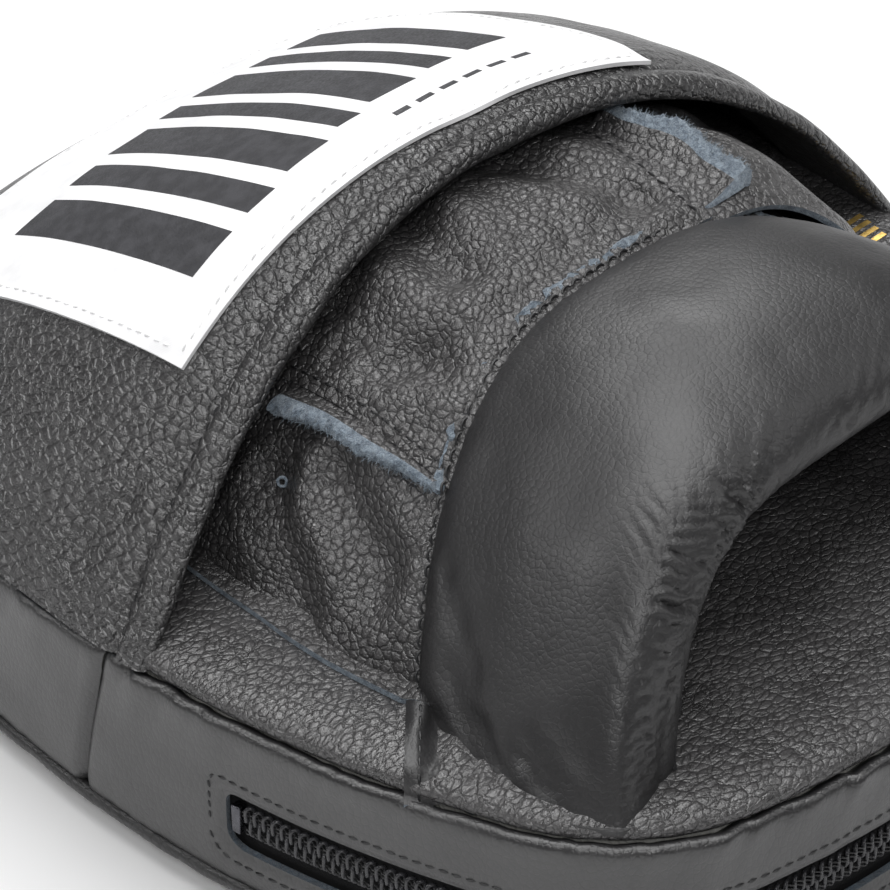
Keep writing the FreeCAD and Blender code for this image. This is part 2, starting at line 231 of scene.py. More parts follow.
def quads(rows, columns, wrap=False):
    index = np.arange(rows * columns).reshape(rows, columns)
    a, b = (index, np.roll(index, -1, 0)) if wrap else (index[:-1], index[1:])
    return np.stack([a[:, :-1], b[:, :-1], b[:, 1:], a[:, 1:]], -1)


def make_object(name, points, faces, materials, kinds=None, sharp=50):
    mesh = bpy.data.meshes.new(name)
    mesh.from_pydata((np.asarray(points) * MM).tolist(), [], faces)
    for material in materials:
        mesh.materials.append(material)
    if kinds is not None:
        mesh.polygons.foreach_set("material_index", np.asarray(kinds, np.int32))
    mesh.shade_smooth()
    mesh.set_sharp_from_angle(angle=math.radians(sharp))
    piece = bpy.data.objects.new(name, mesh)
    bpy.context.collection.objects.link(piece)
    return piece


def own(piece, nodes=(), body="pad"):
    """A finished piece rides on a body and may stand for CAD nodes, which are then hidden."""
    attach(piece, body)
    if nodes:
        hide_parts(*nodes)
    return piece


def shell(name, grid, thickness, materials, wrap=False, keep=None, fan=False, columns=None):
    """A closed skin of one thickness under a grid of outer points. keep says which cells are there,
    fan closes the last column on its middle, and columns gives a material number to each column."""
    rows, cols = grid.shape[:2]
    outer = quads(rows, cols, wrap)
    kinds = np.zeros(outer.shape[:2], int)
    if columns is not None:
        kinds = kinds + np.asarray(columns)[None, : outer.shape[1]]
    if keep is not None:
        outer, kinds = outer[keep], kinds[keep]
    outer, kinds = outer.reshape(-1, 4), kinds.reshape(-1)
    count = rows * cols
    inner_points = grid - grid_normals(grid, wrap) * np.asarray(thickness)
    points = [grid.reshape(-1, 3), inner_points.reshape(-1, 3)]
    edges = np.concatenate([outer[:, [k, (k + 1) % 4]] for k in range(4)])
    key = np.sort(edges, axis=1) @ np.array([count, 1])
    _, first, times = np.unique(key, return_index=True, return_counts=True)
    rim = edges[first[times == 1]]
    faces = outer.tolist() + (outer[:, ::-1] + count).tolist()
    kinds = kinds.tolist() * 2
    if fan:
        last = (rim % cols == cols - 1).all(axis=1)
        closing, rim = rim[last], rim[~last]
        points += [grid[:, -1].mean(0)[None], inner_points[:, -1].mean(0)[None]]
        top = 2 * count
        faces += [[b, a, top] for a, b in closing.tolist()]
        faces += [[a + count, b + count, top + 1] for a, b in closing.tolist()]
        kinds += [0] * (2 * len(closing))
    faces += [[b, a, a + count, b + count] for a, b in rim.tolist()]
    kinds += [min(1, len(materials) - 1)] * len(rim)
    return drop_loose(name, np.concatenate(points), faces, materials, kinds)


def drop_loose(name, points, faces, materials, kinds):
    """An object from the points that a face uses."""
    used = np.zeros(len(points), bool)
    for face in faces:
        used[face] = True
    place = (np.cumsum(used) - 1).tolist()
    faces = [[place[k] for k in face] for face in faces]
    return make_object(name, points[used], faces, materials, kinds)


def closed_tube(path, sides, radii, across=None, loop=False):
    """Points and faces of a round-ended tube along a path."""
    path = np.asarray(path, float)
    count = len(path)
    if loop:
        ahead = unit(np.roll(path, -1, 0) - np.roll(path, 1, 0))
    else:
        ahead = unit(np.gradient(path, axis=0))
    up = np.array([0.0, 0.0, 1.0]) if across is None else across
    side = unit(np.cross(ahead, np.broadcast_to(up, ahead.shape)))
    lift = np.cross(side, ahead)
    turn = np.linspace(0, 2 * math.pi, sides, endpoint=False)
    radii = np.broadcast_to(radii, (count,))[:, None, None]
    rings = path[:, None] + radii * (
        np.cos(turn)[None, :, None] * side[:, None] + np.sin(turn)[None, :, None] * lift[:, None]
    )
    index = np.arange(count * sides).reshape(count, sides)
    a, b = (index, np.roll(index, -1, 0)) if loop else (index[:-1], index[1:])
    faces = np.stack([a, np.roll(a, -1, 1), np.roll(b, -1, 1), b], -1).reshape(-1, 4).tolist()
    if not loop:
        faces += [index[0][::-1].tolist(), index[-1].tolist()]
    return rings.reshape(-1, 3), faces


def plate(grid, thickness):
    """Points and faces of a thin closed sheet under a grid."""
    rows, cols = grid.shape[:2]
    outer = quads(rows, cols).reshape(-1, 4)
    count = rows * cols
    under = grid - grid_normals(grid) * thickness
    index = np.arange(count).reshape(rows, cols)
    rim = np.concatenate([index[:-1, 0], index[-1, :-1], index[:0:-1, -1], index[0, :0:-1]])
    sides = np.stack([rim, np.roll(rim, -1), np.roll(rim, -1) + count, rim + count], -1)[:, ::-1]
    faces = np.concatenate([outer, outer[:, ::-1] + count, sides]).tolist()
    return np.concatenate([grid.reshape(-1, 3), under.reshape(-1, 3)]), faces


def join(parts):
    """One list of points and faces from several."""
    points, faces, start = [], [], 0
    for part_points, part_faces in parts:
        points.append(part_points)
        faces += [[k + start for k in face] for face in part_faces]
        start += len(part_points)
    return np.concatenate(points), faces


THREAD_RADIUS = 0.25


def stitches(path, normals, pitch=3.0, share=0.8, radius=THREAD_RADIUS, seed=1, sink=0.25):
    """Thread stitches that lie along a path on a surface and dive into it at both ends."""
    path, normals = np.asarray(path, float), unit(np.asarray(normals, float))
    lengths = path_lengths(path)
    rng = np.random.default_rng(seed)
    parts = []
    rise = np.array([-1.5, -0.1, 0.5, 0.62, 0.5, -0.1, -1.5]) * radius
    thick = np.array([0.6, 0.92, 1.0, 1.05, 1.0, 0.92, 0.6]) * radius
    for number in range(int(lengths[-1] / pitch)):
        start = number * pitch + rng.uniform(0, 0.12) * pitch
        at = start + np.linspace(0, share * pitch, len(rise))
        middle = np.stack([np.interp(at, lengths, path[:, k]) for k in range(3)], -1)
        up = unit(np.stack([np.interp(at, lengths, normals[:, k]) for k in range(3)], -1))
        ahead = unit(np.gradient(middle, axis=0))
        sideways = np.cross(up, ahead)
        slant = rng.uniform(-0.1, 0.1) + 0.12
        turned = np.linspace(-slant, slant, len(rise))[:, None]
        middle = middle + up * (rise[:, None] - sink * radius) + sideways * turned
        parts.append(closed_tube(middle, 6, thick, across=up))
    return join(parts)


# ---------------------------------------------------------------- cloth simulation
CLOTH_FRAMES = 20
CLOTH_DEPTH = 14.0


def upsampled(coarse, rows, cols, row_places, col_places):
    """Values between the rows and columns of a coarse grid."""
    at_rows = np.interp(np.arange(rows), row_places, np.arange(len(row_places)))
    at_cols = np.interp(np.arange(cols), col_places, np.arange(len(col_places)))
    tall = spline(coarse.reshape(len(row_places), -1), at_rows).reshape(rows, len(col_places), -1)
    wide = spline(np.moveaxis(tall, 1, 0).reshape(len(col_places), -1), at_cols)
    return np.moveaxis(wide.reshape(cols, rows, -1), 0, 1)


def slack_by_cloth(grid, step, growth, pressure, cap):
    """How far each point of a skin moves when cloth a little larger than the skin is blown up
    over it. The skin's borders and an inner layer are held, and the movement fades near the borders."""
    rows, cols = grid.shape[:2]
    row_places = np.unique(np.append(np.arange(0, rows, step[0]), rows - 1))
    col_places = np.unique(np.append(np.arange(0, cols, step[1]), cols - 1))
    outer = grid[np.ix_(row_places, col_places)]
    n, m = outer.shape[:2]
    points, faces = plate(outer, CLOTH_DEPTH)
    piece = make_object("cloth", points, faces, [])
    free = np.zeros((n, m), bool)
    free[1 : n - 1, 1 : m - 1] = True
    held = [k for k in range(2 * n * m) if k >= n * m or not free.reshape(-1)[k]]
    piece.vertex_groups.new(name="held").add(held, 1.0, "REPLACE")
    modifier = piece.modifiers.new("cloth", "CLOTH")
    cloth = modifier.settings
    cloth.vertex_group_mass = "held"
    cloth.quality = 8
    cloth.mass = 0.15
    cloth.tension_stiffness = cloth.compression_stiffness = 12
    cloth.shear_stiffness = 4
    cloth.bending_stiffness = 0.25
    cloth.air_damping = 2
    cloth.use_pressure = True
    cloth.uniform_pressure_force = pressure
    cloth.shrink_min = -growth
    cloth.effector_weights.gravity = 0
    modifier.collision_settings.use_collision = False
    modifier.collision_settings.use_self_collision = False
    scene = bpy.context.scene
    modifier.point_cache.frame_end = CLOTH_FRAMES
    for frame_number in range(1, CLOTH_FRAMES + 1):
        scene.frame_set(frame_number)
    result = piece.evaluated_get(bpy.context.evaluated_depsgraph_get()).data
    moved = np.zeros(len(points) * 3)
    result.vertices.foreach_get("co", moved)
    moved = moved.reshape(-1, 3)[: n * m].reshape(n, m, 3) / MM - outer
    mesh = piece.data
    bpy.data.objects.remove(piece)
    bpy.data.meshes.remove(mesh)
    scene.frame_set(1)
    length = np.linalg.norm(moved, axis=-1, keepdims=True)
    moved = moved * np.tanh(length / cap) * cap / np.maximum(length, 1e-6)
    print("cloth moved", round(float(length.max()), 2), "mm")
    moved = upsampled(moved, rows, cols, row_places, col_places)
    from_ends = np.minimum(np.arange(rows), np.arange(rows)[::-1])[:, None, None] / rows
    from_sides = np.minimum(np.arange(cols), np.arange(cols)[::-1])[None, :, None] / cols
    return moved * smooth_step(from_ends, 0.01, 0.12) * smooth_step(from_sides, 0.01, 0.14)


# ---------------------------------------------------------------- arches that stand on the back
def arch(knots, u, t, out=0.0, fuller=0.0):
    """Points of a surface through leaning arches: u from -1 to 1 across, t counted in knots.
    Each knot is half width, rise, fullness, foot y and the lean of its plane. fuller adds to the
    fullness on the right side."""
    width, rise, fullness, foot, lean = np.moveaxis(spline(knots, t), -1, 0)
    across = np.sin(u * math.pi / 2)
    height = (rise + out) * (1 - np.abs(across) ** (fullness + fuller * (across > 0)))
    return np.stack([(width + out) * across, foot + lean * height, BACK_Z + height + 0 * across], -1)


HOOD_LENGTH = TIP_Y - HEM_Y
HEM_LEAN = 0.26
HEM_SWING = 6.0
HOOD_RISE = HOOD_TOP - BACK_Z


def hood_points(u, along, out):
    """Points of the hood: u across, along the distance from the hem, out above the CAD surface."""
    u, along, out = np.broadcast_arrays(u, np.asarray(along, float), out)
    share = np.clip(along / HOOD_LENGTH, -0.05, 0.9995)
    body = np.clip(share, 0, 1)
    rise = HOOD_RISE * (1 - body**1.43) ** 0.8
    width = half_width_at(HEM_Y + HOOD_LENGTH * share) - 0.6
    edge = np.minimum(1, rise / 8)
    across = np.sin(u * math.pi / 2)
    height = (rise + out * edge) * (1 - np.abs(across) ** (2.2 + 0.54 * body + 0.8 * (across > 0)))
    swing = HEM_SWING * smooth_step(u, 0.0, 0.5) * (1 - body) ** 2
    y = HEM_Y + along + HEM_LEAN * (1 - body) * height - swing
    return np.stack([(width + out * edge) * across, y, BACK_Z - 0.6 + height], -1)


# ---------------------------------------------------------------- materials
class Nodes:
    """Small helper that adds and links shader nodes."""

    def __init__(self, name):
        self.material = bpy.data.materials.new(name)
        self.material.use_nodes = True
        self.tree = self.material.node_tree
        self.tree.nodes.clear()
        self.output = self.add("ShaderNodeOutputMaterial")
        self.surface = self.add("ShaderNodeBsdfPrincipled")
        self.link(self.surface.outputs[0], self.output.inputs["Surface"])
        self.places = self.add("ShaderNodeTexCoord").outputs["Object"]

    def add(self, kind, **settings):
        node = self.tree.nodes.new(kind)
        for key, value in settings.items():
            setattr(node, key, value)
        return node

    def link(self, source, target):
        self.tree.links.new(source, target)

    def feed(self, node, **inputs):
        for key, value in inputs.items():
            socket = node.inputs[key.replace("_", " ")]
            if isinstance(value, bpy.types.NodeSocket):
                self.link(value, socket)
            else:
                socket.default_value = value
        return node

    def scaled(self, scale, stretch=(1, 1, 1), turn=(0, 0, 0)):
        """Object places in units of 1/scale metre, stretched."""
        node = self.add("ShaderNodeMapping")
        factor = [scale * k for k in stretch]
        return self.feed(node, Vector=self.places, Scale=factor, Rotation=turn).outputs[0]

    def noise(self, places, scale=1.0, detail=2.0, rough=0.5):
        node = self.add("ShaderNodeTexNoise")
        return self.feed(node, Vector=places, Scale=scale, Detail=detail, Roughness=rough).outputs[0]

    def voronoi(self, places, feature, scale=1.0):
        node = self.add("ShaderNodeTexVoronoi", feature=feature)
        return self.feed(node, Vector=places, Scale=scale).outputs["Distance"]

    def math(self, operation, a, b=0.0):
        node = self.add("ShaderNodeMath", operation=operation)
        for socket, value in zip(node.inputs, (a, b)):
            if isinstance(value, bpy.types.NodeSocket):
                self.link(value, socket)
            else:
                socket.default_value = value
        return node.outputs[0]

    def remap(self, value, low, high, to_low=0.0, to_high=1.0):
        node = self.add("ShaderNodeMapRange", interpolation_type="SMOOTHSTEP")
        names = {"Value": value, "From_Min": low, "From_Max": high, "To_Min": to_low, "To_Max": to_high}
        return self.feed(node, **names).outputs[0]

    def blend(self, share, a, b):
        """A colour between a and b."""
        node = self.add("ShaderNodeMix", data_type="RGBA")
        for socket, value in ((node.inputs[0], share), (node.inputs[6], a), (node.inputs[7], b)):
            if isinstance(value, bpy.types.NodeSocket):
                self.link(value, socket)
            else:
                socket.default_value = value if isinstance(value, float) else (*value, 1.0)
        return node.outputs[2]

    def warped(self, places, amount, scale):
        """Places pushed about by noise, so that a pattern on them isn't regular."""
        node = self.add("ShaderNodeTexNoise")
        colour = self.feed(node, Vector=places, Scale=scale, Detail=2.0).outputs[1]
        shift = self.add("ShaderNodeVectorMath", operation="MULTIPLY_ADD")
        self.link(colour, shift.inputs[0])
        shift.inputs[1].default_value = (amount,) * 3
        self.link(places, shift.inputs[2])
        return shift.outputs[0]

    def bump(self, height, metres, strength=1.0):
        node = self.add("ShaderNodeBump")
        self.feed(node, Height=height, Distance=metres, Strength=strength)
        self.link(node.outputs[0], self.surface.inputs["Normal"])


def leather(name, colour, pebble, depth, rough, specular, stretch=(1, 1, 1), turn=(0, 0, 0), crease_shade=0.5):
    """Grained leather: domed pebbles of about pebble millimetres with creases between them, and painted shade that
    darkens the colour in the creases.
    """
    n = Nodes(name)
    places = n.warped(n.warped(n.scaled(1000 / pebble, stretch, turn), 0.7, 0.7), 0.3, 2.4)
    edge = n.voronoi(places, "DISTANCE_TO_EDGE")
    middle = n.voronoi(places, "F1")
    small_edge = n.voronoi(n.warped(places, 0.4, 2.0), "DISTANCE_TO_EDGE", 2.3)
    patches = n.noise(n.scaled(60), detail=2.0)
    groove = n.remap(edge, 0.0, 0.2)
    dome = n.math("SUBTRACT", 1.0, n.math("POWER", n.math("MULTIPLY", middle, 1.25), 2.0))
    small = n.remap(small_edge, 0.0, 0.2)
    fine = n.noise(n.scaled(3000), detail=2.0)
    uneven = n.remap(patches, 0.3, 0.7, 0.75, 1.15)
    height = n.math("ADD", n.math("MULTIPLY", groove, 0.4), n.math("MULTIPLY", dome, 0.65))
    height = n.math("ADD", n.math("MULTIPLY", height, uneven), n.math("MULTIPLY", small, 0.12))
    height = n.math("ADD", height, n.math("MULTIPLY", fine, 0.12))
    n.bump(height, depth * MM)
    # painted shade: a darker copy of the colour, laid into the creases between the pebbles
    dark = tuple((1 - crease_shade) * k for k in colour)
    light = tuple(1.3 * k for k in colour)
    base = n.blend(n.remap(edge, 0.0, 0.16), dark, colour)
    base = n.blend(n.remap(patches, 0.42, 0.7, 0.0, 0.45), base, light)
    shine = n.math("ADD", n.remap(patches, 0.3, 0.7, rough - 0.05, rough + 0.06), n.math("MULTIPLY", fine, 0.06))
    n.feed(n.surface, Base_Color=base, Roughness=shine, Specular_IOR_Level=specular)
    return n.material


def suede(name, dark, light):
    """The raw, fibrous edge of dyed leather."""
    n = Nodes(name)
    places = n.warped(n.scaled(900), 1.2, 1.0)
    fibres = n.noise(places, scale=4.0, detail=5.0, rough=0.75)
    clumps = n.noise(places, scale=0.9, detail=3.0)
    share = n.remap(n.math("ADD", n.math("MULTIPLY", fibres, 0.65), n.math("MULTIPLY", clumps, 0.35)), 0.36, 0.66)
    n.bump(n.math("ADD", fibres, clumps), 0.45 * MM)
    n.feed(n.surface, Base_Color=n.blend(share, dark, light), Roughness=0.95, Specular_IOR_Level=0.15)
    n.feed(n.surface, Sheen_Weight=0.35, Sheen_Roughness=0.5)
    return n.material


def cloth(name, colour, thread, depth, rough, specular=0.3):
    """Woven cloth with threads of about thread millimetres."""
    n = Nodes(name)
    weave = None
    for turn in (0.0, math.pi / 2):
        node = n.add("ShaderNodeTexWave", wave_type="BANDS", bands_direction="X")
        places = n.scaled(1000 / thread, turn=(0.4, 0.3, turn))
        n.feed(node, Vector=places, Scale=0.5, Distortion=0.6, Detail=1.0)
        weave = node.outputs[1] if weave is None else n.math("MULTIPLY", weave, node.outputs[1])
    dirt = n.noise(n.scaled(120), detail=4.0)
    n.bump(n.math("ADD", weave, n.math("MULTIPLY", dirt, 0.4)), depth * MM)
    shaded = tuple(0.86 * k for k in colour)
    n.feed(n.surface, Base_Color=n.blend(n.remap(dirt, 0.35, 0.7), colour, shaded))
    n.feed(n.surface, Roughness=rough, Specular_IOR_Level=specular)
    return n.material


def moulded(name, colour, rough, metallic=0.0, scratch=0.02):
    """Smooth plastic, thread or metal with slight marks."""
    n = Nodes(name)
    marks = n.noise(n.scaled(1600, (1, 1, 4)), detail=4.0)
    stain = n.noise(n.scaled(300), detail=2.0)
    n.bump(marks, scratch * MM)
    light = tuple(min(1, 1.5 * k) for k in colour)
    n.feed(n.surface, Base_Color=n.blend(n.remap(stain, 0.35, 0.7), colour, light), Metallic=metallic)
    n.feed(n.surface, Roughness=n.remap(marks, 0.3, 0.7, rough * 0.8, rough * 1.25))
    return n.material


# one black hide in three tones set by how bright each part is under the lamps: the pale tone is a lighter copy, painted
# light on the back panel's border and tunnel floor and on the glove panels; the black tone is a darker copy, partly
# painted shade for the roll's shaded flank and the gusset; the hood's grey tone lies between
BLACK = (0.021, 0.0205, 0.0215)
GREY = (0.031, 0.03, 0.031)
LIT_PALE = (0.058, 0.056, 0.057)
HOOD_LEATHER = leather("hood_leather", GREY, 1.8, 0.46, 0.3, 1.0, stretch=(1, 0.8, 1))
PEBBLE_LEATHER = leather("pebble_leather", LIT_PALE, 1.65, 0.42, 0.29, 1.0)
BACK_LEATHER = leather("back_leather", LIT_PALE, 1.6, 0.3, 0.27, 1.0, stretch=(0.75, 1.2, 1), turn=(0, 0, 0.7))
ROLL_LEATHER = leather("roll_leather", BLACK, 1.1, 0.045, 0.42, 0.7, crease_shade=0.15)
GUSSET_LEATHER = leather("gusset_leather", BLACK, 1.1, 0.06, 0.36, 0.95, stretch=(1, 1, 0.6), crease_shade=0.2)
FACE_LEATHER = leather("face_leather", BLACK, 1.6, 0.1, 0.42, 0.8)
TARGET_LEATHER = leather("target_leather", (0.62, 0.6, 0.57), 1.6, 0.08, 0.45, 0.5)
SUEDE = suede("raw_suede", (0.05, 0.075, 0.11), (0.36, 0.43, 0.5))
PALE_SUEDE = suede("pale_suede", (0.12, 0.17, 0.22), (0.4, 0.47, 0.54))
DARK_SUEDE = suede("dark_suede", (0.01, 0.018, 0.03), (0.06, 0.1, 0.14))
LINING = cloth("lining_cloth", (0.018, 0.018, 0.02), 0.6, 0.06, 0.85)
TAPE = cloth("tape_cloth", (0.011, 0.011, 0.012), 0.5, 0.08, 0.9)
PATCH = cloth("patch_cloth", (0.93, 0.93, 0.94), 0.45, 0.012, 0.55)
FOAM = cloth("foam", (0.5, 0.5, 0.47), 1.4, 0.15, 0.95)
INK = moulded("patch_ink", (0.038, 0.038, 0.042), 0.6)
THREAD = moulded("black_thread", (0.008, 0.008, 0.009), 0.42, scratch=0.05)
PALE_THREAD = moulded("pale_thread", (0.66, 0.66, 0.66), 0.6, scratch=0.05)
COIL = moulded("coil_nylon", (0.03, 0.03, 0.033), 0.24)
METAL = moulded("dark_metal", (0.09, 0.09, 0.1), 0.28, metallic=1.0)
GOLD = moulded("gold_foil", (0.62, 0.42, 0.13), 0.4, metallic=0.9)


def sew(name, parts, material=THREAD):
    """A piece of thread from its points and faces."""
    own(make_object(name, *parts, [material]))


# ---------------------------------------------------------------- side wall
SIDE_SEAM_Y, SIDE_SEAM_LEAN = 8.0, -0.22
SEAM_S = side_at(SIDE_SEAM_Y)
# the side wall's profile from its foot to the top seam: out from the outline, and height
WALL_KNOTS = (
    (-3.2, 7.2), (-0.9, 7.3), (0.2, 8.4), (0.9, 12.0), (1.2, 18.0), (1.2, 26.0), (1.0, 34.0),
    (0.95, 40.0), (1.1, 43.0), (1.0, 45.0), (0.35, 46.3), (-0.9, 46.5), (-2.6, 45.2), (-3.8, 43.5),
)
WINDOW_Z = (ZIP_Z - WINDOW_HALF, ZIP_Z + WINDOW_HALF)
WINDOW_S = (-side_at(WINDOW_LEFT_Y), math.asin(WINDOW_RIGHT_X / WRIST_END[0]) * WRIST_END[0])


def seam_s(z):
    """Length along the outline to the slanted seam, at a height."""
    return side_at(SIDE_SEAM_Y + SIDE_SEAM_LEAN * (z - WELT_Z))


def wall_offset(s, z):
    """How far the side wall's leather stands in or out of its plain profile."""
    swell = 0.7 * fractal(np.stack([s / 34, z / 26, 0 * s + 3], -1), 5)
    slant = s + 0.35 * (BACK_Z - z)
    puckers = noise_at(slant / 2.1, z / 16, 0, 11)
    long_puckers = noise_at(slant / 4.5, z / 22, 5, 12)
    near_top = np.exp(-np.clip(45.8 - z, 0, 99) / 4.2)
    strong = 0.55 + 0.45 * noise_at(s / 25, 0, 0, 13)
    gather = (0.8 * puckers * near_top + 0.8 * long_puckers * np.exp(-np.clip(46 - z, 0, 99) / 9)) * strong
    near_foot = np.exp(-np.clip(z - 8.5, 0, 99) / 2.5)
    return swell * smooth_step(z, 8, 16) * smooth_step(46, z, 0) + gather + 0.16 * puckers * near_foot


def make_wall(name, nodes, s_of, count, window=False):
    t = even(WALL_KNOTS, 0.85)
    profile = spline(WALL_KNOTS, t)
    if window:
        for z in WINDOW_Z:
            profile[np.argmin(np.abs(profile[:, 1] - z) + 99 * (profile[:, 0] < 0)), 1] = z
    share = np.linspace(0, 1, count)
    z = np.broadcast_to(profile[:, 1], (count, len(t)))
    s = s_of(share[:, None], z)
    near_seam = np.minimum(np.abs(s - s[:1]), np.abs(s - s[-1:]))
    out = profile[:, 0] + wall_offset(s, z) - 1.5 * np.exp(-((near_seam / 1.1) ** 2))
    keep = None
    if window:
        columns = s[:, len(t) // 2]
        for edge in WINDOW_S:
            nearest = np.argmin(np.abs(columns - edge))
            s[nearest] += edge - columns[nearest]
        inside_s = (columns[:-1] > WINDOW_S[0] - 0.01) & (columns[1:] < WINDOW_S[1] + 0.01)
        inside_z = (profile[:-1, 1] > WINDOW_Z[0] - 0.01) & (profile[1:, 1] < WINDOW_Z[1] + 0.01)
        inside_z &= profile[:-1, 0] > 0
        keep = ~(inside_s[:, None] & inside_z[None, :])
        gap_s = np.maximum(np.maximum(WINDOW_S[0] - s, s - WINDOW_S[1]), 0)
        gap_z = np.maximum(np.maximum(WINDOW_Z[0] - z, z - WINDOW_Z[1]), 0)
        gap = np.hypot(gap_s, gap_z)
        out = out - 0.75 * np.exp(-((gap / 1.2) ** 2)) - 0.25 * np.exp(-(((gap - 3.2) / 0.5) ** 2))
        s, z = round_window(s, z.copy())
    grid = ring(s, out, z)
    own(shell(name, grid, HIDE, [GUSSET_LEATHER, DARK_SUEDE], keep=keep), nodes)


def round_window(s, z):
    """Round the corners of the zip window by drawing the points beside them towards an arc."""
    for corner_s, inward_s in ((WINDOW_S[0], 1), (WINDOW_S[1], -1)):
        for corner_z, inward_z, radius in ((WINDOW_Z[0], 1, 4.2), (WINDOW_Z[1], -1, 2.4)):
            a, b = (s - corner_s) * inward_s, (z - corner_z) * inward_z
            near = (a > -3) & (b > -3) & (a < radius) & (b < radius)
            reach = np.maximum(radius - a, radius - b)
            length = np.hypot(radius - a, radius - b)
            pull = np.where(length > 1e-6, reach / np.maximum(length, 1e-6), 1)
            fade = np.clip(1 - (reach - radius) / 3, 0, 1)
            pull = 1 + (pull - 1) * fade
            s = np.where(near, corner_s + inward_s * (radius - (radius - a) * pull), s)
            z = np.where(near, corner_z + inward_z * (radius - (radius - b) * pull), z)
    return s, z


def wrist_s(share, z):
    """Columns of the wrist half: upright in the middle, slanted like the seams at both ends."""
    plain = (share * 2 - 1) * SEAM_S
    slant = seam_s(z) - SEAM_S
    return plain + np.sign(plain) * slant * smooth_step(np.abs(plain), SEAM_S - 26, SEAM_S)


def tip_s(share, z):
    start = seam_s(z)
    return start + share * (ROUND - 2 * start)


make_wall("gusset_wrist_leather", ["gusset_wrist"], wrist_s, 400, window=True)
make_wall("gusset_tip_leather", ["gusset_tip"], tip_s, 330)


# ---------------------------------------------------------------- front welt and striking face
def make_welt():
    s = np.linspace(0, ROUND, 700, endpoint=False)
    wave = noise_at(s / 5, 0, 0, 21)
    path = ring(s, -0.55 + 0.1 * wave, (SEAM_Z + WELT_Z) / 2 + 0.1)
    points, faces = closed_tube(path, 14, 1.55 + 0.08 * wave, loop=True)
    own(make_object("front_welt_leather", points, faces, [FACE_LEATHER]), ["front_welt"])


# the striking face's edge: out from the outline, and height
FACE_KNOTS = (
    (-3.4, 5.6), (-1.6, 5.4), (-0.4, 4.7), (-0.7, 3.5), (-3.0, 2.0), (-7.0, 0.9), (-12.0, 0.3), (-18.0, 0.05),
)


def make_face():
    """The striking face: a dished skin with a round opening that the target disc fills."""
    disc_radius = cad_box("target_disc")[1][0]
    t = even(FACE_KNOTS, 0.8)
    profile = spline(FACE_KNOTS, t)
    s = np.linspace(0, ROUND, 480, endpoint=False)[:, None]
    edge = ring(s, profile[:, 0], np.maximum(profile[:, 1], 0.0))
    puckers = noise_at(s / 2.4, edge[..., 2] / 9, 0, 31)
    edge[..., 2] += 0.25 * puckers * smooth_step(edge[..., 2], 0.8, 3.5)
    start = edge[:, -1:]
    angle = np.arctan2(start[..., 1], start[..., 0])
    hole = np.stack([np.cos(angle), np.sin(angle), 0 * angle], -1) * (disc_radius + 0.25)
    share = np.linspace(0, 1, 24)[1:, None]
    flat = start + (hole - start) * share
    flat[..., 2] = 0.05 + 0.35 * np.exp(-(((1 - share[:, 0]) / 0.03) ** 2))
    grid = np.concatenate([edge, flat], axis=1)[::-1]
    own(shell("striking_face_leather", grid, HIDE, [FACE_LEATHER, DARK_SUEDE], wrap=True),
        ["target_panel"])
    radius = np.concatenate([[disc_radius], np.linspace(disc_radius - 0.4, 0.5, 60)])
    turn = np.linspace(0, 2 * math.pi, 240, endpoint=False)[::-1, None]
    low = 0.02 + 0.3 * np.exp(-((disc_radius - radius) / 0.5))
    disc = np.stack([radius * np.cos(turn), radius * np.sin(turn), low + 0 * turn], -1)
    piece = shell("target_disc_leather", disc, 1.3, [TARGET_LEATHER, SUEDE], wrap=True, fan=True)
    own(piece, ["target_disc"])
    path = [((disc_radius - 2.5) * math.cos(a), (disc_radius - 2.5) * math.sin(a), 0.3) for a in turn[:, 0]]
    downwards = np.tile([0, 0, -1.0], (len(path) + 1, 1))
    sew("target_stitches", stitches(path + path[:1], downwards, 3.2, seed=33))


make_welt()
make_face()


# ---------------------------------------------------------------- back panel
# the back panel's border from the top seam inwards: out from the outline, and height
BACK_KNOTS = (
    (-4.4, 44.0), (-2.9, 45.4), (-1.6, 46.8), (-1.2, 48.0), (-1.9, 49.3), (-4.0, 50.3), (-8.0, 50.6),
    (-14.0, 50.4), (-20.0, 49.9),
)
STRAP_START, STRAP_END = np.array([72.8, -50.0]), np.array([88.0, -65.0])
STRAP_WIDTH = 7.0
DIAGONAL = 0.7071
STRAP_ACROSS = STRAP_START.sum() * DIAGONAL


def fold_lines(ax, y):
    """Folds that run from the roll's feet out to the top seam, strongest beside the straps."""
    across = (ax + y) * DIAGONAL
    along = (ax - y) * DIAGONAL
    wander = 1.2 * noise_at(along / 9, across / 9, 0, 44)
    lines = noise_at((across + wander) / 2.0, along / 22, 0, 45)
    past = STRAP_ACROSS - across
    strength = smooth_step(past, -1, 2) * np.exp(-np.clip(past, 0, 99) / 15)
    return 1.9 * lines * strength


def back_offset(x, y, inside):
    """Gathers and folds on the back panel. inside is the distance in from the top seam."""
    ax = np.abs(x)
    seam_puckers = noise_at(np.arctan2(y - 10, x) * 42, inside / 9, 0, 41)
    lift = 0.3 * seam_puckers * np.exp(-inside / 3.0)
    lift = lift + 0.4 * fractal(np.stack([x / 17, y / 17, 0 * x], -1), 43) * smooth_step(inside, 2, 8)
    outside_roll = smooth_step(ax, 52, 62)
    return lift + fold_lines(ax, y) * outside_roll * smooth_step(inside, 0.8, 3.5)


def inside_distance(x, y):
    """How far a place on the back is from the top seam."""
    steps = OUTLINE[::4]
    gap = np.hypot(x[..., None] - steps[:, 0], y[..., None] - steps[:, 1])
    return gap.min(-1)


def back_height(x, y):
    """Height of the back panel's leather at a place on it."""
    inside = inside_distance(x, y)
    knots = spline(BACK_KNOTS, np.linspace(2.6, len(BACK_KNOTS) - 1, 200))
    return np.interp(inside, -knots[:, 0], knots[:, 1]) + back_offset(x, y, inside) * smooth_step(inside, 0.5, 2.5)


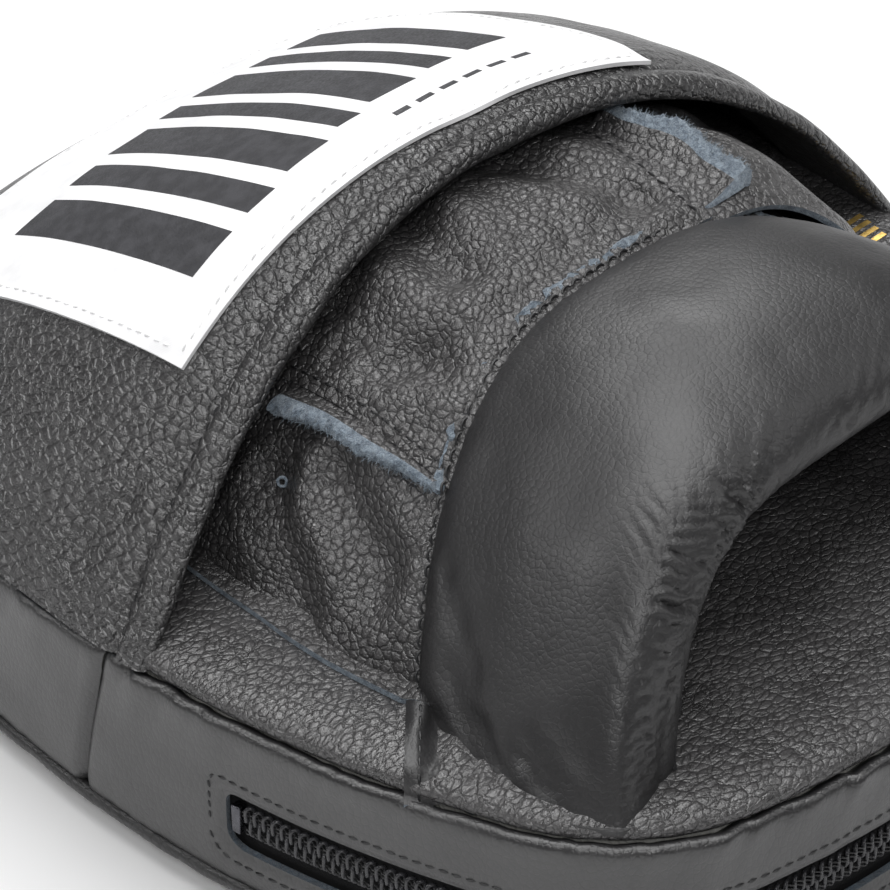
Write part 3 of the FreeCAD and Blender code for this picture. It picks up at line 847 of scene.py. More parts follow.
def make_back():
    t = even(BACK_KNOTS, 0.8)
    profile = spline(BACK_KNOTS, t)
    s = np.linspace(0, ROUND, 620, endpoint=False)[:, None]
    edge = ring(s, profile[:, 0], profile[:, 1])
    start = edge[:, -1:]
    middle = np.array([0.0, WIDEST_Y, 0.0])
    scale = np.linspace(1, 0.02, 75)[1:, None]
    flat = middle + (start - middle) * scale
    flat[..., 2] = start[..., 2]
    grid = np.concatenate([edge, flat], axis=1)
    inside = np.concatenate([-profile[:, 0], 20 + (1 - scale[:, 0]) * 80]) + 0 * s
    grid[..., 2] += back_offset(grid[..., 0], grid[..., 1], inside) * smooth_step(inside, 0.5, 2.5)
    piece = shell("back_panel_leather", grid, HIDE, [BACK_LEATHER, DARK_SUEDE], wrap=True, fan=True)
    own(piece, ["back_panel"])


make_back()


def make_side_print():
    """A few plain gold bars printed on the right border."""
    parts = []
    for number in range(4):
        x = np.linspace(84.0, 90.0, 12)[:, None] - number * 0.5
        y = np.linspace(-14.0, -12.8, 5)[None, :] - number * 2.4
        x, y = np.broadcast_arrays(x, y)
        parts.append(plate(np.stack([x, y, back_height(x, y) + 0.08], -1), 0.16))
    own(make_object("side_print_bars", *join(parts), [GOLD]))


# ---------------------------------------------------------------- hood
def hood_relief(u, along, grid):
    """Soft swells, and folds that run down the hood's sides."""
    swell = 0.9 * fractal(grid / 42, 51) * smooth_step(along, 8, 30)
    folds = noise_at(grid[..., 0] / 9, grid[..., 1] / 30, grid[..., 2] / 30, 52)
    sides = smooth_step(np.abs(u), 0.45, 0.8)
    return swell + 0.35 * folds * sides * smooth_step(along, 9, 16)


# what the cloth simulation does to the hood, kept for the patch that lies on it
HOOD_LOOSE = {}
HEM_STITCH = 8.6


def hood_loose(u, along):
    """The cloth simulation's movement of the hood's skin at a place on it."""
    rows = np.interp(u, HOOD_LOOSE["u"], np.arange(len(HOOD_LOOSE["u"])))
    cols = np.interp(along, HOOD_LOOSE["along"], np.arange(len(HOOD_LOOSE["along"])))
    moved, total = HOOD_LOOSE["moved"], 0.0
    r, c = np.floor(rows).astype(int), np.floor(cols).astype(int)
    for dr in (0, 1):
        for dc in (0, 1):
            share = (1 - np.abs(rows - r - dr)) * (1 - np.abs(cols - c - dc))
            row, col = np.minimum(r + dr, moved.shape[0] - 1), np.minimum(c + dc, moved.shape[1] - 1)
            total = total + share[..., None] * moved[row, col]
    return total


def make_hood():
    hem = ((26.0, -3.0), (12.0, -3.0), (5.0, -3.1), (2.9, -2.9), (1.5, -2.2), (1.0, -0.9), (1.6, 0.4), (3.2, 1.1),
           (5.4, 1.2), (7.4, 0.8), (8.6, -0.15), (9.8, 0.55), (12.5, 1.0), (18.0, 1.1))
    near = spline(hem, even(hem, 0.75))
    far = 18.0 + (HOOD_LENGTH - 18.0) * (1 - (1 - np.linspace(0, 1, 96)[1:]) ** 1.35)
    along = np.concatenate([near[:, 0], far])
    out = np.concatenate([near[:, 1], 1.1 * np.ones(len(far))])
    u = np.linspace(-1, 1, 261)[:, None]
    grid = hood_points(u, along, out)
    outer = np.arange(len(along)) >= np.argmin(near[:, 0])
    hem_end = np.argmax((along > 9.0) & outer)
    relief = hood_relief(u, along + 0 * u, grid) * outer
    pucker = noise_at(run_lengths(grid, 0) / 1.7, along / 6, 0, 53)
    relief = relief + 0.2 * pucker * np.exp(-(((along - HEM_STITCH) / 1.8) ** 2)) * outer
    roll_wave = noise_at(run_lengths(grid, 0) / 11, along / 9, 0, 54)
    relief = relief + 0.3 * roll_wave * (along < 8)
    loose = slack_by_cloth(grid[:, hem_end:], (8, 5), 0.015, 1.2, 1.4)
    grid[:, hem_end:] += loose
    grid = grid + grid_normals(grid) * relief[..., None]
    grid[..., 2] = np.maximum(grid[..., 2], BACK_Z - 0.9)
    HOOD_LOOSE.update(u=u[:, 0], along=along[hem_end:], moved=loose)
    piece = shell("hood_leather_shell", grid, 1.3, [HOOD_LEATHER, DARK_SUEDE])
    own(piece, ["hood_cover", "hood_hem", "hood_lining", "hood_foam"])
    line = np.argmin(np.abs(along - HEM_STITCH) + 99 * ~outer)
    sew("hem_stitches", stitches(grid[:, line], grid_normals(grid)[:, line], seed=55))


make_hood()


# ---------------------------------------------------------------- patch on the hood
PATCH_LOW, PATCH_HIGH = cad_box("hood_patch")
PATCH_START = (18.5, 9.5)
PATCH_END = (111.0, 114.0)
PATCH_X = (PATCH_LOW[0], PATCH_HIGH[0])


def on_patch(a, b, out):
    """A point of the patch: a across it from 0 to 1, b from its lower edge to its upper edge."""
    start = PATCH_START[0] + (PATCH_START[1] - PATCH_START[0]) * a
    end = PATCH_END[0] + (PATCH_END[1] - PATCH_END[0]) * a
    along = start + (end - start) * b
    x = PATCH_X[0] + (PATCH_X[1] - PATCH_X[0]) * a
    width = half_width_at(HEM_Y + along) - 0.6
    u = np.arcsin(np.clip(x / width, -1, 1)) * 2 / math.pi
    grid = hood_points(u, along, 1.1)
    relief = hood_relief(u, along, grid)
    return hood_points(u, along, 1.1 + relief + out) + hood_loose(u, along)


# plain bars on the patch: from and to across it, from and to up it
PATCH_BARS = (
    (0.12, 0.21, 0.13, 0.74), (0.25, 0.31, 0.14, 0.75), (0.35, 0.44, 0.16, 0.77), (0.48, 0.53, 0.19, 0.79),
    (0.57, 0.67, 0.22, 0.81), (0.71, 0.76, 0.24, 0.82), (0.80, 0.88, 0.25, 0.82),
)


def make_patch():
    a, b = np.linspace(0, 1, 150)[:, None], np.linspace(0, 1, 120)[None, :]
    top = on_patch(a + 0 * b, b + 0 * a, 0.95)
    own(shell("hood_patch_cloth", top, 0.8, [PATCH, PATCH]), ["hood_patch"])
    side, end = 0.018, 0.024
    turns = [(side, end), (1 - side, end), (1 - side, 1 - end), (side, 1 - end), (side, end)]
    steps = np.linspace(0, 1, 60, endpoint=False)[:, None]
    route = np.concatenate([np.array(p) + (np.array(q) - np.array(p)) * steps for p, q in zip(turns, turns[1:])])
    path = on_patch(route[:, 0], route[:, 1], 0.98)
    above = on_patch(route[:, 0], route[:, 1], 1.98)
    thread = stitches(path, above - path, 2.6, share=0.72, radius=0.2, seed=61)
    sew("patch_stitches", thread, PALE_THREAD)
    dashes = tuple((0.56 + 0.05 * k, 0.592 + 0.05 * k, 0.12, 0.135) for k in range(6))
    parts = []
    for a0, a1, b0, b1 in PATCH_BARS + dashes:
        across, up = np.linspace(a0, a1, 20)[:, None], np.linspace(b0, b1, 60)[None, :]
        parts.append(plate(on_patch(across + 0 * up, up + 0 * across, 1.04), 0.08))
    own(make_object("patch_bars", *join(parts), [INK]))


make_patch()
make_side_print()


# ---------------------------------------------------------------- wrist roll
# the knots of the roll and its tunnel, as arch() takes them, from the seam to the rim and inwards
ROLL_KNOTS = (
    (70.8, 42.8, 2.7, -51.2, 0.556), (72.2, 45.0, 2.7, -52.6, 0.553), (73.9, 48.3, 2.75, -59.0, 0.52),
    (75.2, 50.8, 2.85, -69.0, 0.46), (75.2, 51.6, 2.9, -79.0, 0.45), (73.2, 50.8, 3.1, -90.0, 0.46),
    (68.6, 48.0, 3.4, -98.5, 0.46), (63.0, 44.4, 3.6, -101.2, 0.43), (57.6, 40.8, 3.8, -100.6, 0.4),
    (54.0, 37.6, 3.9, -97.4, 0.37), (52.8, 36.4, 3.9, -94.8, 0.36),
)
TUNNEL_KNOTS = (
    (53.2, 36.8, 3.9, -95.2, 0.36), (51.9, 35.4, 3.9, -92.3, 0.36), (52.5, 35.2, 3.8, -86.5, 0.4),
    (56.0, 36.4, 3.5, -77.0, 0.48), (63.0, 39.8, 3.0, -64.0, 0.53), (70.0, 42.2, 2.7, -51.0, 0.556),
)
# how far in from the rim the tunnel is leather
TURNED_IN = 4.5
# how far the rim's roll-over is tucked in at the feet, at each knot
TUCK = (0, 0, 0, 0, 0, 0, 1.5, 4.0, 5.0, 2.5, 0)
# deep pinches at the bend of the rim: place along the rim, reach, depth, width
PINCHES = (
    (-0.2, 15, 0.5, 0.9), (-0.31, 17, 1.3, 1.1), (-0.37, 16, 0.6, 0.8), (-0.45, 17, 0.6, 0.9), (-0.53, 18, 1.0, 1.0),
    (-0.6, 17, 0.5, 0.9), (-0.67, 15, 0.4, 0.9), (0.02, 13, 0.4, 0.8), (0.14, 14, 0.4, 0.8), (0.3, 16, 0.7, 1.0),
    (0.42, 17, 0.8, 1.0), (0.52, 16, 0.6, 0.9), (0.62, 15, 0.5, 0.9),
)


def make_seated(grid):
    """Let the roll's foot rest on the border's leather instead of going through it."""
    low = back_height(np.abs(grid[..., 0]), grid[..., 1]) - 0.6
    low = np.maximum(low, BACK_Z + 1.4)
    return np.maximum(grid[..., 2], low + 0.25 * np.clip(grid[..., 2] - low, 0, 1.5))


def roll_relief(grid, u):
    """Creases that run in from the rim and from the seam, and a slow unevenness."""
    from_seam = run_lengths(grid, 1)
    from_rim = from_seam[:, -1:] - from_seam
    round_arch = run_lengths(grid, 0)
    foot = smooth_step(np.abs(u), 0.8, 0.97)
    bend = np.exp(-((np.abs(u) - 0.42) / 0.24) ** 2)
    wander = noise_at(round_arch / 7, from_rim / 8, 0, 62)
    lobes = np.abs(np.sin(math.pi * (round_arch / 3.1 + 0.75 * wander + 0.05 * from_rim))) ** 0.6
    strong = 0.5 + 0.5 * noise_at(round_arch / 8, from_rim / 12, 0, 63)
    band = np.exp(-(((from_rim - 9.5) / (5.5 + 4 * bend)) ** 2)) * (1 - 0.8 * foot)
    relief = (lobes - 0.75) * strong * band * (0.7 + 0.9 * bend)
    fine = noise_at(round_arch / 1.5, from_rim / 4, 0, 64)
    relief = relief + 0.22 * fine * band
    for place, length, depth, width in PINCHES:
        middle = int(np.argmin(np.abs(u[:, 0] - place)))
        at = round_arch[middle] + 0.18 * from_rim[middle] * np.sign(place)
        near = (round_arch - at) / width
        fade = smooth_step(length - from_rim, 0, length * 0.7) * smooth_step(from_rim, 1, 6)
        valley = depth * np.exp(-(near**2)) * fade
        ridges = 0.4 * depth * np.exp(-(((np.abs(near) - 2.2) / 1.1) ** 2)) * fade
        relief = relief - valley + ridges
    seam = noise_at(round_arch / 2.2, from_seam / 8, 0, 65)
    relief = relief + 0.22 * seam * np.exp(-from_seam / 4)
    slant = grid[..., 1] + 0.55 * grid[..., 2]
    upright = noise_at(slant / 5.5, grid[..., 2] / 26, np.sign(grid[..., 0]), 66)
    fans = noise_at(slant / 2.4, grid[..., 2] / 18, np.sign(grid[..., 0]), 68)
    relief = relief + (0.6 * upright + 0.22 * fans) * foot * smooth_step(from_seam, 2, 9)
    return relief + 0.8 * fractal(grid / 30, 67) * smooth_step(from_seam, 2, 14) * smooth_step(from_rim, 2, 14)


def make_roll():
    u = np.linspace(1, -1, 401)[:, None]
    t = even([k[1:2] + k[3:4] for k in ROLL_KNOTS], 0.75)
    grid = arch(ROLL_KNOTS, u, t[None, :] + 0 * u)
    grid[..., 1] += np.interp(t, np.arange(len(TUCK)), TUCK) * np.abs(np.sin(u * math.pi / 2)) ** 5
    grid = grid + slack_by_cloth(grid, (10, 6), 0.02, 1.5, 1.0)
    grid = grid + grid_normals(grid) * roll_relief(grid, u)[..., None]
    grid[..., 2] = make_seated(grid)
    piece = shell("wrist_roll_leather", grid, 1.3, [ROLL_LEATHER, ROLL_LEATHER])
    own(piece, ["roll_cover", "roll_foam"])


def make_tunnel():
    """The roll's lining, and the leather that turns in at the rim."""
    u = np.linspace(1, -1, 241)[:, None]
    t = even([k[1:2] + k[3:4] for k in TUNNEL_KNOTS], 1.0)
    grid = arch(TUNNEL_KNOTS, u, t[None, :] + 0 * u)
    inward = run_lengths(grid, 1)
    creases = noise_at(run_lengths(grid, 0) / 1.8, inward / 9, 0, 71)
    grid = grid + grid_normals(grid) * (0.3 * creases * np.exp(-inward / 5))[..., None]
    columns = (inward[len(u) // 2, :-1] > TURNED_IN).astype(int)
    piece = shell("wrist_roll_lining", grid, 0.9, [ROLL_LEATHER, LINING], columns=columns)
    own(piece, ["roll_lining"])


make_roll()
make_tunnel()

# ---------------------------------------------------------------- glove panels under the hood
# from the roll's seam to the far end under the hood
GLOVE_KNOTS = (
    (69.0, 43.6, 2.9, -54.5, 0.556), (69.8, 45.0, 2.9, -50.5, 0.54), (71.5, 45.4, 2.85, -40.0, 0.46),
    (72.8, 45.6, 2.8, -26.0, 0.36), (73.0, 45.2, 2.7, -12.0, 0.28), (73.0, 42.5, 2.6, 6.0, 0.18),
    (72.0, 38.0, 2.45, 24.0, 0.08), (62.0, 24.0, 2.3, 55.0, 0.04), (40.0, 8.0, 2.2, 80.0, 0.0),
)
# distance of each long seam from the middle, near the roll and under the hood
SEAM_KNOTS = {-1: (48.5, 48.5), 1: (24.0, 27.5)}
FOOT_MARGIN = 4.0
GLOVE_OUT = 1.3


def glove_arch(u, t, out):
    return arch(GLOVE_KNOTS, u, t, out, fuller=2.0)


# valleys in the panels: both ends, width and depth
VALLEYS = (
    ((-57.0, -16.0), (-63.0, -34.0), 3.2, 2.6), ((-61.0, -2.0), (-72.0, -22.0), 3.0, 1.6),
    ((-14.0, 14.0), (-22.0, -10.0), 4.5, 2.6), ((8.0, 8.0), (18.0, -16.0), 4.5, 2.2),
    ((-40.0, 4.0), (-36.0, -20.0), 4.5, 1.6), ((52.0, -4.0), (60.0, -26.0), 4.0, 2.4),
)


def valley_relief(grid):
    """The depth of the valleys, with a soft ridge on both sides of each."""
    place, total = grid[..., :2], 0.0
    for start, end, width, depth in VALLEYS:
        start, run = np.array(start), np.array(end) - np.array(start)
        share = ((place - start) @ run / (run @ run)).clip(0, 1)
        far = np.linalg.norm(place - start - share[..., None] * run, axis=-1) / width
        total = total - depth * np.exp(-(far**2)) + 0.35 * depth * np.exp(-(((far - 2.0) / 0.8) ** 2))
    return total


def glove_relief(grid, seed, strong=1.0):
    """Puffs and slack folds in the panels between the roll and the hood."""
    puff = fractal(grid / 19, seed) * strong
    slant = grid[..., 0] / 8 + grid[..., 1] / 15
    folds = noise_at(slant, grid[..., 1] / 24, grid[..., 2] / 14, seed + 3)
    return puff + 0.6 * folds * strong + valley_relief(grid)


def seam_u(side, t, shift=0.0):
    """The u of a side's long seam at each knot place, shift millimetres further out."""
    x = np.interp(t, (1.0, 4.0), SEAM_KNOTS[side]) + shift
    width = spline(GLOVE_KNOTS, t)[..., 0]
    return np.arcsin(np.clip(x / width, -1, 1)) * 2 / math.pi * side


def make_glove():
    t = even([k[1:2] + k[3:4] for k in GLOVE_KNOTS], 0.9)
    share = np.linspace(0, 1, 170)[:, None]
    low, high = seam_u(-1, t, 0.6), seam_u(1, t, 0.6)
    grid = glove_arch(low + (high - low) * share, t[None, :] + 0 * share, GLOVE_OUT)
    grid = grid + slack_by_cloth(grid, (8, 4), 0.04, 1.5, 1.8)
    near_seam = smooth_step(np.minimum(share, 1 - share), 0, 0.1) * smooth_step(t, 0.1, 1.2)
    grid = grid + grid_normals(grid) * (glove_relief(grid, 81) * near_seam)[..., None]
    own(shell("glove_centre_leather", grid, 1.2, [PEBBLE_LEATHER, SUEDE]), ["glove_centre_panel"])
    normals = grid_normals(grid)
    visible = (t > 0.4) & (t < 4.9)
    parts = [stitches(grid[row][visible], normals[row][visible], seed=82 + row) for row in (5, -6)]
    sew("centre_panel_stitches", join(parts))
    for side, name in ((-1, "thumb"), (1, "little")):
        make_side_panel(side, name, t)
        make_raw_flange(side, name)
    u = np.linspace(-1, 1, 90)[:, None]
    lining = glove_arch(u, t[None, :] + 0 * u, -5.5)
    own(shell("glove_lining_cloth", lining, 0.6, [LINING, LINING]), ["glove_lining"])


def make_side_panel(side, name, t):
    """The leather between a long seam and the border, with its raw edge lying on the border."""
    share = np.linspace(0, 1, 110)[:, None]
    start = seam_u(side, t, -3.0)
    u = start + share * (0.985 * side - start)
    grid = glove_arch(u, t[None, :] + 0 * u, 0.0)
    if side < 0:
        grid = grid[::-1]
    # the simulation leaves the thumb side's skin where it is
    grid = grid + slack_by_cloth(grid, (6, 4), 0.05, 1.5, 2.0)
    relief = glove_relief(grid, 84 + side, 1.3)
    fade = smooth_step(1 - share, 0.0, 0.2) * smooth_step(share, 0.0, 0.08) * smooth_step(t, 0.1, 1.2)
    grid = grid + grid_normals(grid) * (relief * (fade if side > 0 else fade[::-1]))[..., None]
    if side < 0:
        grid = grid[::-1]
    foot = grid[-1:]
    reach = np.linspace(0, 1, 9)[1:, None]
    x = foot[..., 0] + side * reach * FOOT_MARGIN
    y = foot[..., 1] + 0 * reach
    level = back_height(x, y) + 1.3
    z = foot[..., 2] + (level - foot[..., 2]) * smooth_step(reach, 0, 0.35)
    grid = np.concatenate([grid, np.stack([x, y, z], -1)], axis=0)
    line = grid[-9]
    if side < 0:
        grid = grid[::-1]
    piece = shell("glove_%s_leather" % name, grid, 1.2, [PEBBLE_LEATHER, SUEDE])
    own(piece, ["glove_%s_panel" % name, "seam_edge_%s_base" % name])
    visible = (t > 0.5) & (t < 5.6)
    above = np.tile([0.8 * side, 0, 1.0], (visible.sum(), 1))
    thread = stitches(line[visible] + unit(above) * 0.15, above, seed=86 + side)
    sew("%s_foot_stitches" % name, thread)


# width of the flange, how far it stands up and how far its edge waves, from the roll to the hood
FLANGE = {-1: ((3.2, 0.4, 0.2), (4.2, 1.0, -0.3), (5.2, 1.6, 0.5), (6.0, 2.0, -0.5), (6.6, 2.8, 0.7)),
          1: ((14.0, 0.8, 0.2), (11.5, 2.6, -0.8), (8.8, 3.6, 0.9), (6.0, 3.4, -0.6), (3.8, 2.4, 0.2))}


def make_raw_flange(side, name):
    """The thick raw edge that stands out beside the centre panel's seam."""
    where = np.linspace(0.9, 4.35, 120)
    u = seam_u(side, where)
    root = glove_arch(u, where, 0.2)
    outward = unit(glove_arch(u, where, 2.2) - root)
    across = unit(glove_arch(seam_u(side, where, 1.0), where, 0.2) - root)
    wide, rise, wave = np.moveaxis(spline(FLANGE[side], np.linspace(0, 4, len(where))), -1, 0)
    thick = (5.0 if side < 0 else 3.6) + 0.5 * noise_at(where * 2.1, 0, side, 91)
    wide = wide + wave * 0.8
    lip = 1 - (2.4 if side < 0 else 2.2) / wide.mean()
    section = ((-3.0, 0.4), (0.0, 0.55), (lip - 0.2, 0.85), (lip, 1.0), ((lip + 1) / 2, 0.9), (0.96, 0.6),
               (1.04, 0.3), (1.0, 0.04), (0.9, 0.0), (0.45, 0.0), (0.0, 0.0), (-3.0, 0.0))
    if side > 0:
        section = section[:3] + ((lip, 1.0), ((lip + 1) / 2, 1.08), (0.97, 0.95), (1.03, 0.5)) + section[7:]
    loop = spline(section, even(section, 0.09))
    run, high = loop[:, 0], loop[:, 1]
    reach = np.where(run < 0, run, run * wide[:, None])
    bend = np.clip(run, 0, 2) ** 1.6
    lift = high * thick[:, None] * (0.4 + 0.6 * np.clip(run, 0, 1)) - 0.9 + bend * rise[:, None]
    grid = root[:, None] + across[:, None] * reach[..., None] + outward[:, None] * lift[..., None]
    fuzz = 0.35 * noise(grid / 1.4, 93) + 0.22 * noise(grid / 0.5, 94)
    raw = smooth_step(run, lip - 0.05, lip + 0.12)
    grid = grid + (across + outward)[:, None] * (fuzz * raw)[..., None]
    if side > 0:
        grid = grid[:, ::-1]
        run, high = run[::-1], high[::-1]
    faces = quads(*grid.shape[:2])
    middle = (run[:-1] + run[1:]) / 2
    leather_side = (middle < lip) & (high[:-1] > 0.35)
    kinds = np.broadcast_to(leather_side.astype(int), faces.shape[:2]).reshape(-1).tolist()
    index = np.arange(grid.shape[0] * grid.shape[1]).reshape(grid.shape[:2])
    closing = np.stack([index[:-1, -1], index[1:, -1], index[1:, 0], index[:-1, 0]], -1)
    faces = faces.reshape(-1, 4).tolist() + closing.tolist() + [index[0].tolist(), index[-1][::-1].tolist()]
    kinds += [0] * (len(faces) - len(kinds))
    piece = make_object("raw_edge_" + name, grid.reshape(-1, 3), faces, [SUEDE, PEBBLE_LEATHER], kinds)
    own(piece, ["seam_edge_" + name])
    make_fibres(name, grid, across + outward * 0.4, raw if side < 0 else raw[::-1], 92 + side)


FIBRES = 700


def make_fibres(name, grid, outward, raw, seed):
    """Loose fibres on a raw leather edge."""
    rng = np.random.default_rng(seed)
    columns = np.flatnonzero(raw > 0.6)
    parts = []
    for _ in range(FIBRES):
        row, col = rng.integers(2, grid.shape[0] - 2), rng.choice(columns)
        heading = unit(outward[row] + rng.normal(0, 0.7, 3))
        turn = unit(rng.normal(0, 1, 3))
        length = rng.uniform(0.4, 1.2)
        steps = np.linspace(-0.3, 1, 5)[:, None]
        path = grid[row, col] + heading * length * steps + turn * 0.35 * length * steps**2
        parts.append(closed_tube(path, 4, np.linspace(0.07, 0.02, 5), across=unit(turn + 0.01)))
    own(make_object("raw_fibres_" + name, *join(parts), [PALE_SUEDE]))


make_glove()


VENT_PLACE = np.array([-60.8, -4.1, 65.2])


def make_vent():
    """The raw rim of a small punched hole in the thumb panel."""
    skin = bpy.data.objects["glove_thumb_leather"].data
    points = np.zeros(len(skin.vertices) * 3)
    skin.vertices.foreach_get("co", points)
    points = points.reshape(-1, 3) / MM
    nearest = np.linalg.norm(points - VENT_PLACE, axis=1).argsort()[:24]
    middle = points[nearest].mean(0)
    normal = unit(np.array([-0.75, -0.35, 0.55]))
    aside = unit(np.cross(normal, [0, 0, 1]))
    turn = np.linspace(0, 2 * math.pi, 28, endpoint=False)[:, None]
    around = np.cos(turn) * aside + np.sin(turn) * np.cross(normal, aside)
    rim = closed_tube(middle + around * (0.85 + 0.08 * noise(around * 3, 88)[:, None]) + normal * 0.5, 8, 0.3,
                      across=normal, loop=True)
    own(make_object("vent_rim", *rim, [SUEDE]))


make_vent()


# ---------------------------------------------------------------- seam between roll and glove
def make_roll_seam():
    """The raw edge that lines the roll's seam, and the stitches beside it."""
    u = np.linspace(-0.5, 0.985, 220)
    knot = (72.4, 45.6, 2.72, -51.0, 0.552)
    strip = np.array([knot, (72.8, 46.0, 2.72, -50.6, 0.551), (72.3, 45.5, 2.72, -50.1, 0.548)])
    across = np.linspace(0, 2, 9)
    grid = arch(strip, u[:, None], across[None, :] + 0 * u[:, None], 0.2)
    low = smooth_step(np.abs(u[:, None]), 0.5, 0.62)
    grid += grid_normals(grid) * (0.2 * noise(grid / 0.7, 96) + 0.9 * noise(grid / 5, 97) - 0.35 - 1.2 * low)[..., None]
    own(shell("roll_seam_edge_suede", grid, 1.0, [SUEDE, SUEDE]), ["roll_seam_edge"])
    places = np.linspace(-0.985, 0.985, 260)
    line = arch(np.array([knot, knot]), places, 0 * places, 0.75) + np.array([0, -1.5, 0])
    out = arch(np.array([knot, knot]), places, 0 * places, 3.0) - line
    sew("roll_seam_stitches", stitches(line, out, radius=0.26, seed=98))


STRAP_STITCH_COLUMN = 7


def make_straps():
    """Flaps of the roll's leather that run from its feet down to the top seam."""
    for side, name in ((-1, "left"), (1, "right")):
        run = np.linspace(0, 1, 60)[:, None]
        ahead = unit(STRAP_END - STRAP_START)
        aside = np.array([ahead[1], ahead[0]]) * np.array([1, -1])
        across = np.linspace(0, 1, 20)[None, :]
        x = STRAP_START[0] + run * (STRAP_END - STRAP_START)[0] + across * STRAP_WIDTH * aside[0]
        y = STRAP_START[1] + run * (STRAP_END - STRAP_START)[1] + across * STRAP_WIDTH * aside[1]
        height = back_height(x, y) + 1.25 - 1.7 * smooth_step(across, 0.45, 1.0)
        height = height + 0.15 * noise_at(x / 3, y / 3, side, 101)
        height = height - 2.6 * smooth_step(run, 0.8, 1.0)
        grid = np.stack([side * x, y, height], -1)
        if grid_normals(grid)[..., 2].mean() < 0:
            grid = grid[::-1]
        piece = shell("roll_strap_leather_" + name, grid, 1.1, [ROLL_LEATHER, SUEDE])
        own(piece, ["roll_strap_" + name])
        line = grid[:, STRAP_STITCH_COLUMN] + np.array([0, 0, 0.05])
        thread = stitches(line, np.tile([0, 0, 1.0], (len(line), 1)), seed=102)
        sew("roll_strap_stitches_" + name, thread)


make_roll_seam()
make_straps()


# ---------------------------------------------------------------- zip
COIL_PITCH = 1.95
CHAIN_S = (-side_at(cad_box("zip_coil_upper")[1][1]) + 0.3, math.radians(13.1) * WRIST_END[0])


def make_zip():
    for name, side in (("upper", 1), ("lower", -1)):
        s = np.linspace(WINDOW_S[0] - 6, WINDOW_S[1] + 6, 190)[:, None]
        rise = np.linspace(0.15, 12.0, 16)[None, :]
        z = ZIP_Z + side * rise + 0 * s
        grid = ring(s, -1.95 - 0.1 * np.cos(rise * 2.4) * (rise > 2.5), z)
        if side < 0:
            grid = grid[::-1]
        own(shell("zip_tape_%s_cloth" % name, grid, 0.5, [TAPE, TAPE]), ["zip_tape_" + name])
        count = int((CHAIN_S[1] - CHAIN_S[0]) / COIL_PITCH)
        turn = np.linspace(0, 2 * math.pi * count, count * 22)
        start = CHAIN_S[0] + (0.5 * COIL_PITCH if side < 0 else 0)
        flat = np.sign(np.cos(turn)) * np.abs(np.cos(turn)) ** 0.7
        s = start + COIL_PITCH * (turn / (2 * math.pi) + 0.13 * np.sin(2 * turn))
        path = ring(s, -1.15 + 0.62 * np.sin(turn), ZIP_Z + side * (1.35 - 1.75 * flat))
        points, faces = closed_tube(path, 8, 0.4, across=ring_normal(s))
        own(make_object("zip_coil_%s_turns" % name, points, faces, [COIL]), ["zip_coil_" + name])
    make_chain_threads()


def make_chain_threads():
    parts = []
    for rise in (-2.5, -1.6, 1.6, 2.5):
        s = np.linspace(CHAIN_S[0], CHAIN_S[1], 900)
        shift = 0.5 if rise < 0 else 0
        wave = np.cos(2 * math.pi * ((s - CHAIN_S[0]) / COIL_PITCH + shift))
        path = ring(s, -0.52 + 0.28 * wave, ZIP_Z + rise)
        parts.append(closed_tube(path, 6, 0.17, across=ring_normal(s)))
    for rise in (-10.4, -9.2, 9.2, 10.4):
        s = np.linspace(CHAIN_S[0], CHAIN_S[1], 200)
        parts.append(stitches(ring(s, -1.9, ZIP_Z + rise), ring_normal(s), 2.0, 0.6, 0.16, seed=111))
    sew("zip_threads", join(parts))


def window_path(margin, z_margin):
    """A route round the zip window at a margin, with rounded corners."""
    corners = [
        (WINDOW_S[0] - margin, WINDOW_Z[0] - z_margin, 5.5), (WINDOW_S[1] + margin, WINDOW_Z[0] - z_margin, 5.5),
        (WINDOW_S[1] + margin, WINDOW_Z[1] + z_margin, 3.0), (WINDOW_S[0] - margin, WINDOW_Z[1] + z_margin, 2.2),
    ]
    route = []
    for number, (s, z, radius) in enumerate(corners):
        to_s, to_z = (1 if s < 0 else -1), (1 if z < ZIP_Z else -1)
        start_turn = (math.pi, -math.pi / 2, 0, math.pi / 2)[number]
        for turn in np.linspace(start_turn, start_turn + math.pi / 2, 9):
            route.append((s + radius * (to_s + math.cos(turn)), z + radius * (to_z + math.sin(turn))))
    route.append(route[0])
    route = np.array(route)
    lengths = path_lengths(route)
    at = np.arange(0, lengths[-1], 0.6)
    return np.interp(at, lengths, route[:, 0]), np.interp(at, lengths, route[:, 1])


def make_window_stitches():
    s, z = window_path(3.3, 3.3)
    knots = spline(WALL_KNOTS, np.linspace(1, 10, 200))
    out = np.interp(z, knots[:, 1], knots[:, 0]) + wall_offset(s, z) - 0.22
    thread = stitches(ring(s, out, z), ring_normal(s), 2.5, 0.9, 0.3, seed=112)
    sew("window_stitches", thread)


make_zip()
make_window_stitches()


# ---------------------------------------------------------------- zip metal
def softened(name, node, body, bevel):
    """A copy of a CAD node's solid with rounded edges, for small metal parts."""
    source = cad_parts[node]
    mesh = source.data.copy()
    mesh.name = name
    mesh.materials.clear()
    mesh.materials.append(METAL)
    piece = bpy.data.objects.new(name, mesh)
    bpy.context.collection.objects.link(piece)
    weld = piece.modifiers.new("weld", "WELD")
    weld.merge_threshold = 1e-5
    planar = piece.modifiers.new("planar", "DECIMATE")
    planar.decimate_type = "DISSOLVE"
    planar.angle_limit = math.radians(3)
    rounding = piece.modifiers.new("bevel", "BEVEL")
    rounding.width = bevel * MM
    rounding.segments = 3
    rounding.limit_method = "ANGLE"
    rounding.angle_limit = math.radians(35)
    rounding.harden_normals = False
    for polygon in mesh.polygons:
        polygon.use_smooth = True
    mesh.set_sharp_from_angle(angle=math.radians(60))
    return own(piece, [node], body)


